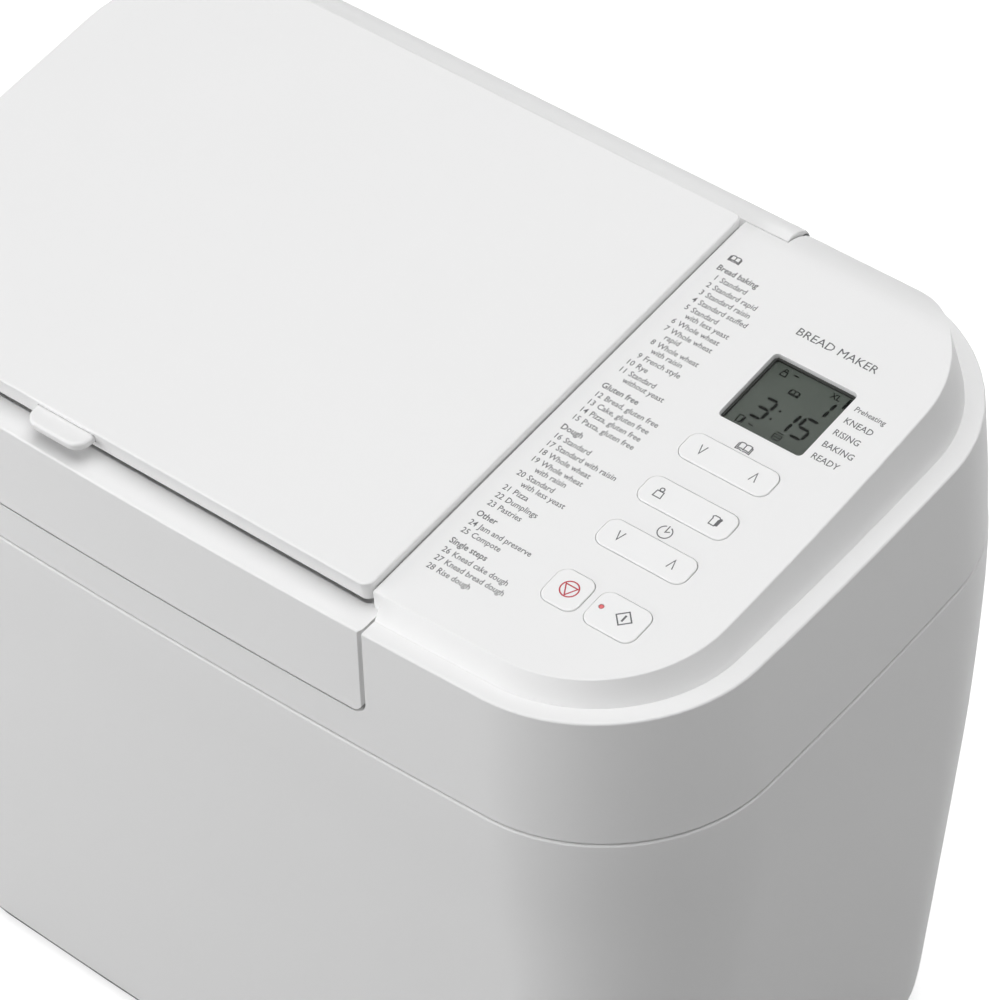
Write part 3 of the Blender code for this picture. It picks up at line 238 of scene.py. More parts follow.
def laid(bm, axis, center):
    """Lays a turned bmesh, made upright at the origin, along X or Y."""
    turns = {"X": Matrix.Rotation(math.pi / 2, 4, "Y"), "Y": Matrix.Rotation(-math.pi / 2, 4, "X")}
    bmesh.ops.transform(bm, matrix=Matrix.Translation(center) @ turns[axis], verts=bm.verts)
    return bm


def rounded_rect(width, depth, radius, steps=10, center=(0.0, 0.0)):
    """Plan of a rounded rectangle, counter-clockwise."""
    radius = min(radius, width / 2 - 0.01, depth / 2 - 0.01)
    points = []
    for quarter in range(4):
        sx = 1 if quarter in (0, 3) else -1
        sy = 1 if quarter in (0, 1) else -1
        for i in range(steps + 1):
            angle = math.pi / 2 * (quarter + i / steps)
            points.append((center[0] + sx * (width / 2 - radius) + radius * math.cos(angle),
                           center[1] + sy * (depth / 2 - radius) + radius * math.sin(angle)))
    return points


def rect_rings(heights, width, depth, radius, steps=8):
    """Rings of a rounded rectangle, one for each (height, growth)."""
    return [[(x, y, z) for x, y in rounded_rect(width + 2 * grow, depth + 2 * grow, radius + grow, steps)]
            for z, grow in heights]


def slab(plan, z0, z1):
    return skin([[(x, y, z) for x, y in plan] for z in (z0, z1)])


def block(low, high):
    plan = ((low[0], low[1]), (high[0], low[1]), (high[0], high[1]), (low[0], high[1]))
    return slab(plan, low[2], high[2])


def arc(x, z, radius, start, stop, steps=6):
    """(inset, height) points along an arc, angles in degrees."""
    points = []
    for i in range(steps + 1):
        angle = math.radians(start + (stop - start) * i / steps)
        points.append((x + radius * math.cos(angle), z + radius * math.sin(angle)))
    return points


def made(name, bm):
    """An object from a bmesh in millimetres, its faces pointing out."""
    bmesh.ops.remove_doubles(bm, verts=bm.verts, dist=1e-4)
    bmesh.ops.recalc_face_normals(bm, faces=bm.faces)
    bmesh.ops.scale(bm, vec=(MM, MM, MM), verts=bm.verts)
    mesh = bpy.data.meshes.new(name)
    bm.to_mesh(mesh)
    bm.free()
    obj = bpy.data.objects.new(name, mesh)
    bpy.context.scene.collection.objects.link(obj)
    return obj


def carve(obj, *steps):
    """Cuts, keeps or joins closed bmeshes in turn: each step is (operation, bmesh)."""
    helpers = []
    for operation, bm in steps:
        helper = made("helper", bm)
        helpers.append(helper)
        modifier = obj.modifiers.new(operation, "BOOLEAN")
        modifier.operation = operation
        modifier.solver = "EXACT"
        modifier.object = helper
    graph = bpy.context.evaluated_depsgraph_get()
    mesh = bpy.data.meshes.new_from_object(obj.evaluated_get(graph))
    obj.modifiers.clear()
    obj.data = mesh
    for helper in helpers:
        bpy.data.objects.remove(helper, do_unlink=True)
    return obj


def soften(obj, width, angle=35.0, segments=2):
    """Rounds the edges that the cuts left sharp."""
    bm = bmesh.new()
    bm.from_mesh(obj.data)
    bmesh.ops.remove_doubles(bm, verts=bm.verts, dist=2e-6)
    bmesh.ops.dissolve_limit(bm, angle_limit=math.radians(0.05), verts=bm.verts, edges=bm.edges)
    limit = math.radians(angle)
    sharp = [e for e in bm.edges if len(e.link_faces) == 2 and e.calc_face_angle() > limit]
    bmesh.ops.bevel(bm, geom=sharp, offset=width * MM, segments=segments, profile=0.5,
                    affect="EDGES", clamp_overlap=True)
    bm.to_mesh(obj.data)
    bm.free()
    return obj


def shade(obj, angle=32.0):
    """Smooth shading that leaves flat faces flat."""
    obj.data.shade_smooth()
    obj.data.set_sharp_from_angle(angle=math.radians(angle))
    modifier = obj.modifiers.new("flat faces stay flat", "WEIGHTED_NORMAL")
    modifier.keep_sharp = True
    return obj


def settle(obj, material, body, slot, *nodes):
    """Gives a finished piece its material and body, and hides the frame nodes it stands for; slot is not
    used.
    """
    obj.data.materials.clear()
    obj.data.materials.append(material)
    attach(obj, body)
    if nodes:
        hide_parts(*nodes)
    return obj


# ------------------------------------------------------------------ the machine's outline

CORNER_STEPS = 18
LONG_STEPS = 12
SHORT_STEPS = 7


def outline(inset_side=0.0, inset_front=None, front_taper=0.0):
    """The body in plan, moved inwards: rounded corners and slightly bowed sides.

    front_taper moves the front back out and tightens its two corners.
    """
    sizes = shell_sizes()
    inset_front = inset_side if inset_front is None else inset_front
    half_w = HALF_W - inset_side
    half_d = HALF_D - inset_front
    radius = max(sizes.corner_radius - (inset_side + inset_front) / 2, 8.0)
    front = (half_d + front_taper, radius - sizes.corner_tightening * front_taper)
    rear = (half_d, radius)
    corners = ((1, -1, -90, *front), (1, 1, 0, *rear), (-1, 1, 90, *rear), (-1, -1, 180, *front))
    points = []
    for index, (sx, sy, start, half, radius) in enumerate(corners):
        for i in range(CORNER_STEPS + 1):
            angle = math.radians(start + 90 * i / CORNER_STEPS)
            points.append((sx * (half_w - radius) + radius * math.cos(angle),
                           sy * (half - radius) + radius * math.sin(angle)))
        count = SHORT_STEPS if index % 2 == 0 else LONG_STEPS
        nx, ny, _, half, radius = corners[(index + 1) % 4]
        angle = math.radians(start + 90)
        first = Vector(points[-1])
        last = Vector((nx * (half_w - radius) + radius * math.cos(angle),
                       ny * (half - radius) + radius * math.sin(angle)))
        points += [tuple(first.lerp(last, i / count)) for i in range(1, count)]
    return [(x - sizes.bow_side * (y / HALF_D) ** 2 * (x / HALF_W),
             y - sizes.bow_front * (x / HALF_W) ** 2 * (y / HALF_D)) for x, y in points]


def level(z, inset_side=0.0, inset_front=None, front_taper=0.0):
    """One ring of the outline; z is a height or a function of depth."""
    plan = outline(inset_side, inset_front, front_taper)
    return [(x, y, z(y) if callable(z) else z) for x, y in plan]


def panel_z(y, lift=0.0):
    """Height of the sloping panel at this depth."""
    sizes = shell_sizes()
    return sizes.panel_front_z + sizes.slope * (y - sizes.panel_front_y) + lift


def on_panel(bm, x, y, lift=0.0):
    """Moves a bmesh made flat at the origin onto the sloping panel."""
    tilt = Matrix.Rotation(math.atan(shell_sizes().slope), 4, "X")
    place = Matrix.Translation((x, y, panel_z(y))) @ tilt @ Matrix.Translation((0, 0, lift))
    bmesh.ops.transform(bm, matrix=place, verts=bm.verts)
    return bm


def parting_x(y, shift=0.0):
    """The parting line between the lid and the panel."""
    sizes = shell_sizes()
    share = (y + 110.0) / 206.0
    return sizes.parting_front + (sizes.parting_rear - sizes.parting_front) * share + shift


def beside_parting(shift, y0, y1, z0, z1, right):
    """A block on one side of the parting line."""
    edge = 400.0 if right else -400.0
    plan = [(parting_x(y0, shift), y0), (edge, y0), (edge, y1), (parting_x(y1, shift), y1)]
    return slab(plan if right else plan[::-1], z0, z1)


# ------------------------------------------------------------------ housing shells

BAY_RIGHT = 82.9
BAY_CORNER_R = 7.0
DECK_GAP = 0.9
PIN_BORE_R = 3.3

# Inset of the lower shell at each height: it bulges under the seam and tapers to the base.
SHELL_LEVELS = (
    (8.0, 24.5), (14.0, 22.6), (50.0, 18.2), (90.0, 13.6), (140.0, 7.9), (180.0, 3.6),
    (215.0, 0.6), (245.0, -1.4), (266.0, -2.2), (273.65, -2.2),
)


def shell_inset(z):
    """Inset of the lower shell's outside, smooth between the levels."""
    index = 0
    while index < len(SHELL_LEVELS) - 2 and z > SHELL_LEVELS[index + 1][0]:
        index += 1
    z0, a = SHELL_LEVELS[index]
    z1, b = SHELL_LEVELS[index + 1]
    before = SHELL_LEVELS[max(index - 1, 0)]
    after = SHELL_LEVELS[min(index + 2, len(SHELL_LEVELS) - 1)]
    rise0 = (b - before[1]) / (z1 - before[0]) * (z1 - z0)
    rise1 = (after[1] - a) / (after[0] - z0) * (z1 - z0)
    t = (z - z0) / (z1 - z0)
    return (a * (1 + 2 * t) * (1 - t) ** 2 + rise0 * t * (1 - t) ** 2
            + b * t * t * (3 - 2 * t) + rise1 * t * t * (t - 1))


def build_body_shell():
    wall = shell_sizes().wall
    top = SEAM_Z - GAP

    def ring(z, inset, inward=0.0):
        taper = shell_sizes().front_steepness * max(inset, 0.0)
        return level(z, inset + inward, front_taper=taper)

    foot = [(BASE_Z + 2.2 + z, 2.2 - r) for r, z in arc(0.0, 0.0, 2.2, -90, 0, 6)]
    heights = [BASE_Z + 4.0 + (top - 5.0 - BASE_Z) * i / 34 for i in range(35)]
    rings = [ring(z, shell_inset(z), inward) for z, inward in foot]
    rings += [ring(z, shell_inset(z)) for z in heights]
    rings += [ring(z, -SHELL_BULGE - r) for r, z in arc(-1.0, top - 1.0, 1.0, 0, 90, 4)]
    rings += [ring(top, -SHELL_BULGE, wall)]
    rings += [ring(z, shell_inset(z), wall) for z in heights[-2:0:-3]]
    rings += [ring(BASE_Z, shell_inset(BASE_Z), wall)]
    shell = made("moulded_body_shell", skin(rings, loop=True))
    gland_low, gland_high = frame_mm("cord_gland")
    gland_x = (gland_low.x + gland_high.x) / 2
    gland_z = (gland_low.z + gland_high.z) / 2
    hole = laid(turned([(0, -20), (9.0, -20), (9.0, 20), (0, 20)], segments=48), "Y",
                (gland_x, gland_high.y - 6.0, gland_z))
    slots = []
    for row in range(6):
        slot = slab(rounded_rect(44.0, 3.2, 1.5, 6), -20, 20)
        turn = Matrix.Translation((82.0, 105.0, 47.6 + 8.0 * row)) @ Matrix.Rotation(math.pi / 2, 4, "X")
        bmesh.ops.transform(slot, matrix=turn, verts=slot.verts)
        slots.append(("DIFFERENCE", slot))
    carve(shell, ("DIFFERENCE", hole), *slots)
    shade(soften(shell, 0.35, 50.0))
    return settle(shell, white_plastic(), "housing", "body_white", "body_shell")


def ring_levels(low_z):
    """Outside of the upper ring and the lid's band, from low_z up to the ledge."""
    lip = [(z, -r) for r, z in arc(-0.9, low_z + 0.9, 1.0, -80, 0, 4)]
    wall = [(low_z + 3.0, -1.9), (SEAM_Z + 24.0, -1.7), (LEDGE_Z - 20.0, -0.95)]
    wall = [item for item in wall if item[0] > lip[-1][0] + 0.5]
    lip = [(z, inset + wall[0][1] - 0.1) for z, inset in lip]
    edge = [(z, 0.9 - r) for r, z in arc(0.0, LEDGE_Z - 0.9, 0.9, 0, 90, 5)]
    return lip + wall + edge


def build_top_housing():
    wall = shell_sizes().wall
    deck_z = LID_LOW.z - DECK_GAP
    lid_rear = frame_mm("top_flap")[1].y + 1.4
    housing = made("moulded_top_housing",
                   skin([level(z, inset) for z, inset in ring_levels(SEAM_Z + GAP)]))
    bay = block((-300, -300, deck_z), (BAY_RIGHT, lid_rear, 400))
    edges = [e for e in bay.edges
             if all(abs(v.co.x - BAY_RIGHT) < 0.1 and v.co.z < 300 for v in e.verts)]
    bmesh.ops.bevel(bay, geom=edges, offset=BAY_CORNER_R, segments=10, profile=0.5, affect="EDGES")
    right_room = skin([level(z, wall + 0.6) for z in (SEAM_Z - 5, LEDGE_Z - 3.0)])
    right_cut = made("right_room", right_room)
    carve(right_cut, ("INTERSECT", block((BAY_RIGHT + 2.8, -300, SEAM_Z - 4),
                                         (300, 300, LEDGE_Z - 3.4))))
    rear_cut = made("rear_room", skin([level(z, wall + 0.6) for z in (SEAM_Z - 5, LEDGE_Z - 12.0)]))
    carve(rear_cut, ("INTERSECT", block((-300, lid_rear + 3.0, SEAM_Z - 4),
                                        (BAY_RIGHT + 10, 300, LEDGE_Z - 12.6))))
    panel_cut = made("panel_room", skin([level(z, 17.0) for z in (LEDGE_Z - 8, LEDGE_Z + 5)]))
    carve(panel_cut, ("INTERSECT", block((BAY_RIGHT + 5.5, -300, LEDGE_Z - 7),
                                         (300, 92, LEDGE_Z + 4))))
    mouth = rounded_rect(CHAMBER_HIGH.x - CHAMBER_LOW.x - 7.8, CHAMBER_HIGH.y - CHAMBER_LOW.y - 7.8,
                         30.0, 14, (CX, CY))
    ear_x = ROLL_LOW.x - 5.0
    ear = block((ear_x - 4.0, HINGE_Y - 7.0, LEDGE_Z - 11.0), (ear_x + 4.0, HINGE_Y + 7.0, HINGE_Z + 7.0))
    tops = [e for e in ear.edges if all(v.co.z > HINGE_Z for v in e.verts)
            and abs(e.verts[0].co.y - e.verts[1].co.y) < 0.1]
    bmesh.ops.bevel(ear, geom=tops, offset=6.5, segments=8, profile=0.5, affect="EDGES")
    bore = laid(turned([(0, -15), (PIN_BORE_R, -15), (PIN_BORE_R, 15), (0, 15)], segments=32), "X",
                (ear_x, HINGE_Y, HINGE_Z))
    carve(housing,
          ("DIFFERENCE", bay),
          ("DIFFERENCE", block((-300, lid_rear - 5, LEDGE_Z - 9), (ROLL_HIGH.x + 0.6, 300, 400))),
          ("DIFFERENCE", skin([level(z, wall - 1.6) for z in (SEAM_Z - 5, deck_z - 3.0)])),
          ("DIFFERENCE", mesh_of(right_cut)),
          ("DIFFERENCE", mesh_of(rear_cut)),
          ("DIFFERENCE", mesh_of(panel_cut)),
          ("DIFFERENCE", slab(mouth, SEAM_Z - 5, 330)),
          ("UNION", ear),
          ("DIFFERENCE", bore))
    shade(soften(housing, 0.6, 50.0))
    return settle(housing, white_plastic(), "housing", "body_white", "top_housing")


def mesh_of(obj):
    """Takes a helper object's mesh back as a bmesh in millimetres and removes the object."""
    bm = bmesh.new()
    bm.from_mesh(obj.data)
    bmesh.ops.scale(bm, vec=(1 / MM,) * 3, verts=bm.verts)
    bpy.data.objects.remove(obj, do_unlink=True)
    return bm


def key_layout():
    """(name, x, y, width, depth) of each key cap, from the frame."""
    rows = []
    for name in ("menu_key", "size_key", "timer_key", "stop_key", "start_key"):
        low, high = frame_mm(name)
        rows.append((name, (low.x + high.x) / 2, (low.y + high.y) / 2,
                     high.x - low.x - 2 * KEY_FLANGE, high.y - low.y - 2 * KEY_FLANGE))
    return rows


KEY_R = 4.2
KEY_RISE = 0.45
KEY_FLANGE = 0.7
KEY_CLEARANCE = 0.22
WINDOW_R = 1.9
WINDOW_SPARE = 1.5
PANEL_SKIN = 2.4


def window_place():
    """Centre and size of the display's window."""
    low, high = frame_mm("display_lens")
    size = high - low
    return ((low.x + high.x) / 2, (low.y + high.y) / 2 + 0.2,
            size.x + WINDOW_SPARE, size.y + WINDOW_SPARE)


def flared(width, depth, radius, low, high, flare):
    """A cutter for a hole whose upper edge is rounded."""
    heights = [(low, 0.0), (-flare, 0.0)]
    heights += [(-flare + flare * math.sin(a), flare - flare * math.cos(a))
                for a in (math.radians(30), math.radians(60), math.radians(90))]
    heights.append((high, flare + 0.4))
    return skin(rect_rings(heights, width, depth, radius))


def rear_round(radius, inward=0.0):
    """Room under the panel's top, with its rear edge rolled down by a large radius."""
    slope = shell_sizes().slope
    full = shell_sizes().rear_radius
    y = PANEL_HIGH.y - full
    z = panel_z(y) - full * math.hypot(1.0, slope)
    stop = 90 + math.degrees(math.atan(slope))
    profile = [(y + r, h) for r, h in arc(0.0, z, radius - inward, 0, stop, 16)]
    profile += [(profile[-1][0] - 0.2, profile[-1][1] + 6.0), (-200.0, 420.0), (-200.0, 280.0),
                (y + radius - inward, 280.0)]
    return skin([[(x, py, pz) for py, pz in profile] for x in (-300.0, 300.0)])


def build_control_panel():
    side, front = 13.0, 12.6
    radius = 0.7
    edge = arc(0.0, -radius, radius, 8, 90, 5)
    rings = [level(LEDGE_Z - 0.5, 7.9, 7.2), level(LEDGE_Z + 0.5, 8.0, 7.3)]
    rings += [level(lambda y, z=z: panel_z(y, z), side + 0.3 - r, front + 0.3 - r)
              for r, z in edge]
    panel = made("moulded_control_panel", skin(rings))
    notch_y = HINGE_Y - HINGE_R
    rear_radius = shell_sizes().rear_radius
    hollow = [level(LEDGE_Z - 5.0, 10.6, 9.7), level(LEDGE_Z + 1.0, 10.7, 9.8),
              level(lambda y: panel_z(y, -PANEL_SKIN), side + 1.6, front + 1.4)]
    inside = made("panel_inside", skin(hollow))
    carve(inside, ("INTERSECT", beside_parting(6.0, -130.0, notch_y - 3.4, 300, 400, True)),
          ("INTERSECT", rear_round(rear_radius, PANEL_SKIN)))
    behind = made("panel_behind", skin(hollow))
    carve(behind, ("INTERSECT", block((ROLL_HIGH.x + 3.0, notch_y - 4.0, 300), (300, 200, 400))),
          ("INTERSECT", rear_round(rear_radius, PANEL_SKIN)))
    x, y, width, depth = window_place()
    holes = [("DIFFERENCE", on_panel(flared(width, depth, WINDOW_R, -6, 6, 0.2), x, y))]
    for _, kx, ky, kw, kd in key_layout():
        hole = flared(kw + 2 * KEY_CLEARANCE, kd + 2 * KEY_CLEARANCE, KEY_R + KEY_CLEARANCE,
                      -6, 6, 0.1)
        holes.append(("DIFFERENCE", on_panel(hole, kx, ky)))
    carve(panel,
          ("INTERSECT", beside_parting(0.0, -130.0, 130.0, 300, 400, True)),
          ("INTERSECT", rear_round(rear_radius)),
          ("DIFFERENCE", block((60.0, notch_y - 0.5, 300), (ROLL_HIGH.x + 0.6, 200, 400))),
          ("DIFFERENCE", block((0.0, -200.0, 300), (83.0, -111.6, 400))),
          ("DIFFERENCE", mesh_of(inside)),
          ("DIFFERENCE", mesh_of(behind)),
          *holes)
    shade(soften(panel, 0.3, 60.0), 40.0)
    return settle(panel, white_plastic(), "housing", "body_white", "control_panel")


# ------------------------------------------------------------------ keys and signs

KEY_BODIES = {"menu_key": "menu_rocker", "size_key": "size_rocker", "timer_key": "timer_rocker",
              "stop_key": "stop_button", "start_key": "start_button"}


def build_keys():
    for name, x, y, width, depth in key_layout():
        heights = [(-4.6, KEY_FLANGE), (-3.5, KEY_FLANGE), (-3.4, 0.0)]
        heights += [(KEY_RISE - 0.5 + 0.5 * math.sin(a), 0.5 * math.cos(a) - 0.5)
                    for a in (math.radians(15 * i) for i in range(7))]
        key = made(name + "_cap", on_panel(skin(rect_rings(heights, width, depth, KEY_R, 10)), x, y))
        if name == "start_key":
            led_low, led_high = frame_mm("start_led")
            hole = turned([(0, -8), (1.05, -8), (1.05, 8), (0, 8)], segments=32)
            carve(key, ("DIFFERENCE", on_panel(hole, (led_low.x + led_high.x) / 2,
                                               (led_low.y + led_high.y) / 2 - 0.3)))
        shade(key, 40.0)
        settle(key, key_plastic(), KEY_BODIES[name], "key_white", name)
    low, high = frame_mm("start_led")
    dome = [(0, -7.0), (0.9, -7.0), (0.9, KEY_RISE - 0.2), (0.75, KEY_RISE),
            (0.4, KEY_RISE + 0.08), (0, KEY_RISE + 0.1)]
    led = made("start_light", on_panel(turned(dome, segments=32), (low.x + high.x) / 2,
                                       (low.y + high.y) / 2 - 0.3))
    shade(led, 50.0)
    settle(led, red_lens(), "housing", "red_light", "start_led")


def ribbon(points, width, depth, closed=False, bm=None):
    """A flat line of even width along a path, as a closed solid."""
    bm = bm or bmesh.new()
    path = [Vector(p) for p in points]
    count = len(path)
    sides = []
    for i, point in enumerate(path):
        before = path[i - 1] if (closed or i) else point
        after = path[(i + 1) % count] if (closed or i < count - 1) else point
        into = (point - before).normalized() if before != point else (after - point).normalized()
        out = (after - point).normalized() if after != point else into
        across = Vector((-(into.y + out.y), into.x + out.x))
        across.normalize()
        lean = max(across.dot(Vector((-into.y, into.x))), 0.4)
        sides.append(across * (width / 2 / lean))
    rows = [[bm.verts.new((p.x + s.x * k, p.y + s.y * k, z))
             for k, z in ((-1, 0.0), (1, 0.0), (1, depth), (-1, depth))]
            for p, s in zip(path, sides)]
    for low, high in list(zip(rows, rows[1:])) + ([(rows[-1], rows[0])] if closed else []):
        for i in range(4):
            j = (i + 1) % 4
            bm.faces.new((low[i], low[j], high[j], high[i]))
    if not closed:
        bm.faces.new(rows[0][::-1])
        bm.faces.new(rows[-1])
    return bm


def scaled(points, size):
    return [(x * size, y * size) for x, y in points]


def filled(points, depth, bm):
    """A flat filled shape, as a closed solid."""
    return skin([[(x, y, z) for x, y in points] for z in (0.0, depth)], bm=bm)


def circle(radius, center=(0.0, 0.0), steps=40, start=0.0, stop=360.0):
    span = steps if abs(stop - start) > 359 else steps + 1
    return [(center[0] + radius * math.cos(math.radians(start + (stop - start) * i / steps)),
             center[1] + radius * math.sin(math.radians(start + (stop - start) * i / steps)))
            for i in range(span)]


def book_sign(bm, size, width, depth):
    """An open book: two pages with turned corners and their stack below."""
    for side in (-1, 1):
        page = [(0, -0.5), (side * 0.35, -0.38), (side * 0.95, -0.5), (side * 0.95, 0.55),
                (side * 0.5, 0.66), (side * 0.18, 0.6), (0, 0.48)]
        ribbon(scaled(page, size), width, depth, True, bm)
        stack = [(side * 0.95, 0.36), (side * 1.18, 0.3), (side * 1.18, -0.78), (side * 0.5, -0.66),
                 (side * 0.08, -0.8)]
        ribbon(scaled(stack, size), width, depth, False, bm)


def clock_sign(bm, size, width, depth):
    ribbon(circle(size, steps=40, start=112, stop=428), width, depth, False, bm)
    ribbon([(0, size * 1.15), (0, 0), (size * 0.55, size * 0.32)], width, depth, False, bm)


def weight_sign(bm, size, width, depth):
    body = [(-0.75, -1.0), (0.75, -1.0), (0.62, 0.25), (-0.62, 0.25)]
    ribbon(scaled(body, size), width, depth, True, bm)
    ribbon(circle(size * 0.36, (0, size * 0.66), 24), width, depth, True, bm)


def slice_sign(bm, size, width, depth):
    """A loaf's cut end, with its dark side."""
    face = [(-0.62, -0.9), (0.42, -0.9), (0.42, 0.35), (0.6, 0.75), (0.25, 0.98), (-0.5, 0.98),
            (-0.8, 0.7), (-0.62, 0.35)]
    ribbon(scaled(face, size), width, depth, True, bm)
    side = ((0.42, -0.9), (0.95, -0.72), (0.95, 0.3), (1.08, 0.72), (0.72, 0.98), (0.42, 0.35))
    filled(scaled(side, size), depth, bm)


def chevron_sign(bm, size, width, depth, up):
    turn = 1 if up else -1
    ribbon(scaled(((-0.62, -turn), (0, turn), (0.62, -turn)), size), width, depth, False, bm)


def stop_sign(bm, size, width, depth):
    ribbon(circle(size, steps=48), width * 1.25, depth, True, bm)
    corner = [(size * 0.86 * math.sin(math.radians(a)), -size * 0.86 * math.cos(math.radians(a)))
              for a in (0, 120, 240)]
    ribbon(corner, width * 1.15, depth, True, bm)


def start_sign(bm, size, width, depth):
    ribbon([(0, -size), (size, 0), (0, size), (-size, 0)], width * 1.2, depth, True, bm)
    ribbon([(0, -size * 0.45), (0, size * 0.45)], width * 1.8, depth, False, bm)


PRINT_LIFT = 0.005


def sign(name, draw, x, y, size, body, material, slot, lift=0.0):
    """One printed sign on the panel or on a key."""
    sizes = print_sizes()
    bm = bmesh.new()
    draw(bm, size, sizes.stroke, sizes.ink)
    obj = made(name, on_panel(bm, x, y, lift + PRINT_LIFT))
    settle(obj, material, body, slot)
    return obj


def chevron_down(*place):
    chevron_sign(*place, False)


def chevron_up(*place):
    chevron_sign(*place, True)


# Name, drawing, x, y, size and body of each sign on a key; the stop sign alone is red.
KEY_SIGNS = (
    ("menu_down_sign", chevron_down, 134.0, 0.6, 2.0, "menu_rocker"),
    ("menu_up_sign", chevron_up, 156.5, 0.6, 2.0, "menu_rocker"),
    ("timer_down_sign", chevron_down, 134.0, -45.7, 2.0, "timer_rocker"),
    ("timer_up_sign", chevron_up, 156.5, -45.7, 2.0, "timer_rocker"),
    ("weight_sign", weight_sign, 133.7, -22.8, 2.2, "size_rocker"),
    ("crust_sign", slice_sign, 157.0, -22.5, 2.2, "size_rocker"),
    ("stop_sign", stop_sign, 134.2, -73.7, 3.4, "stop_button"),
    ("start_sign", start_sign, 157.4, -73.5, 3.3, "start_button"),
)
PANEL_SIGNS = (
    ("menu_book_sign", book_sign, 145.5, 9.9, 2.5),
    ("timer_clock_sign", clock_sign, 145.6, -35.6, 2.7),
    ("list_book_sign", book_sign, 89.6, 78.7, 2.0),
)


def build_signs():
    for name, draw, x, y, size, body in KEY_SIGNS:
        ink = red_ink() if draw is stop_sign else grey_ink()
        sign(name, draw, x, y, size, body, ink, "key_white", KEY_RISE)
    for name, draw, x, y, size in PANEL_SIGNS:
        sign(name, draw, x, y, size, "housing", grey_ink(), "body_white")


# The programme list: a heading, then its numbered entries; a second line follows a slash.
PROGRAMMES = (
    ("Bread baking", ("Standard", "Standard rapid", "Standard raisin", "Standard stuffed",
                      "Standard/with less yeast", "Whole wheat", "Whole wheat/rapid",
                      "Whole wheat/with raisin", "French style", "Rye", "Standard/without yeast")),
    ("Gluten free", ("Bread, gluten free", "Cake, gluten free", "Pizza, gluten free",
                     "Pasta, gluten free")),
    ("Dough", ("Standard", "Standard with raisin", "Whole wheat", "Whole wheat/with raisin",
               "Standard/with less yeast", "Pizza", "Dumplings", "Pastries")),
    ("Other", ("Jam and preserve", "Compote")),
    ("Single steps", ("Knead cake dough", "Knead bread dough", "Rise dough")),
)
STATUS = (("Preheating", 3.3), ("KNEAD", 3.9), ("RISING", 3.9), ("BAKING", 3.9), ("READY", 3.9))


def lettering(text, size, x, y, align="LEFT", bold=0.02, narrow=0.93):
    """Text as a solid mesh in millimetres, lying flat with its baseline through (x, y)."""
    curve = bpy.data.curves.new("lettering", "FONT")
    curve.body = text
    curve.size = size
    curve.align_x = align
    curve.extrude = print_sizes().ink / 2
    curve.resolution_u = 2
    curve.offset = bold
    obj = bpy.data.objects.new("lettering", curve)
    bpy.context.scene.collection.objects.link(obj)
    graph = bpy.context.evaluated_depsgraph_get()
    mesh = bpy.data.meshes.new_from_object(obj.evaluated_get(graph))
    bm = bmesh.new()
    bm.from_mesh(mesh)
    place = Matrix.Translation((x, y, print_sizes().ink / 2)) @ Matrix.Diagonal((narrow, 1, 1, 1))
    bmesh.ops.transform(bm, matrix=place, verts=bm.verts)
    bpy.data.objects.remove(obj, do_unlink=True)
    bpy.data.curves.remove(curve)
    bpy.data.meshes.remove(mesh)
    return bm


def joined(parts):
    """Several bmeshes as one."""
    whole = bmesh.new()
    for part in parts:
        mesh = bpy.data.meshes.new("part")
        part.to_mesh(mesh)
        part.free()
        whole.from_mesh(mesh)
        bpy.data.meshes.remove(mesh)
    return whole


def sloped(bm, lift=PRINT_LIFT):
    """Lays a flat bmesh, drawn in the machine's X and Y, onto the sloping panel."""
    slope = math.cos(math.atan(shell_sizes().slope))
    for vert in bm.verts:
        y = vert.co.y
        vert.co.z = panel_z(y) + (vert.co.z + lift) / slope
    return bm


def build_prints():
    sizes = print_sizes()
    x = sizes.list_x
    y = sizes.list_y - sizes.text_size * 0.36
    number = 0
    for heading, entries in PROGRAMMES:
        parts = [lettering(heading, sizes.heading_size, x - 4.8, y, bold=0.05)]
        y -= sizes.heading_row
        for entry in entries:
            number += 1
            parts.append(lettering(str(number), sizes.text_size, x - 1.2, y, "RIGHT"))
            for line, words in enumerate(entry.split("/")):
                y -= sizes.second_row if line else 0.0
                parts.append(lettering(words, sizes.text_size, x, y))
            y -= sizes.row
        y -= sizes.heading_gap - sizes.row
        name = "printed_" + heading.lower().replace(" ", "_")
        settle(made(name, sloped(joined(parts))), grey_ink(), "housing", "body_white")
    words = [lettering(word, size, 166.6, 44.2 - 6.35 * row, narrow=0.92)
             for row, (word, size) in enumerate(STATUS)]
    settle(made("printed_status_words", sloped(joined(words))), grey_ink(), "housing", "body_white")
    title = lettering("BREAD MAKER", 5.0, 128.2, 61.8, bold=0.0, narrow=1.06)
    settle(made("printed_title", sloped(title)), grey_ink(), "housing", "body_white")


# ------------------------------------------------------------------ display

def bar(bm, start, stop, width, depth):
    """One display segment: a bar with pointed ends."""
    a, b = Vector(start), Vector(stop)
    along = (b - a).normalized()
    side = Vector((-along.y, along.x)) * width / 2
    tip = along * width / 2
    points = [a, a + tip + side, b - tip + side, b, b - tip - side, a + tip - side]
    filled([(p.x, p.y) for p in points][::-1], depth, bm)


DIGIT_BARS = {"1": "bc", "3": "abgcd", "5": "afgcd"}


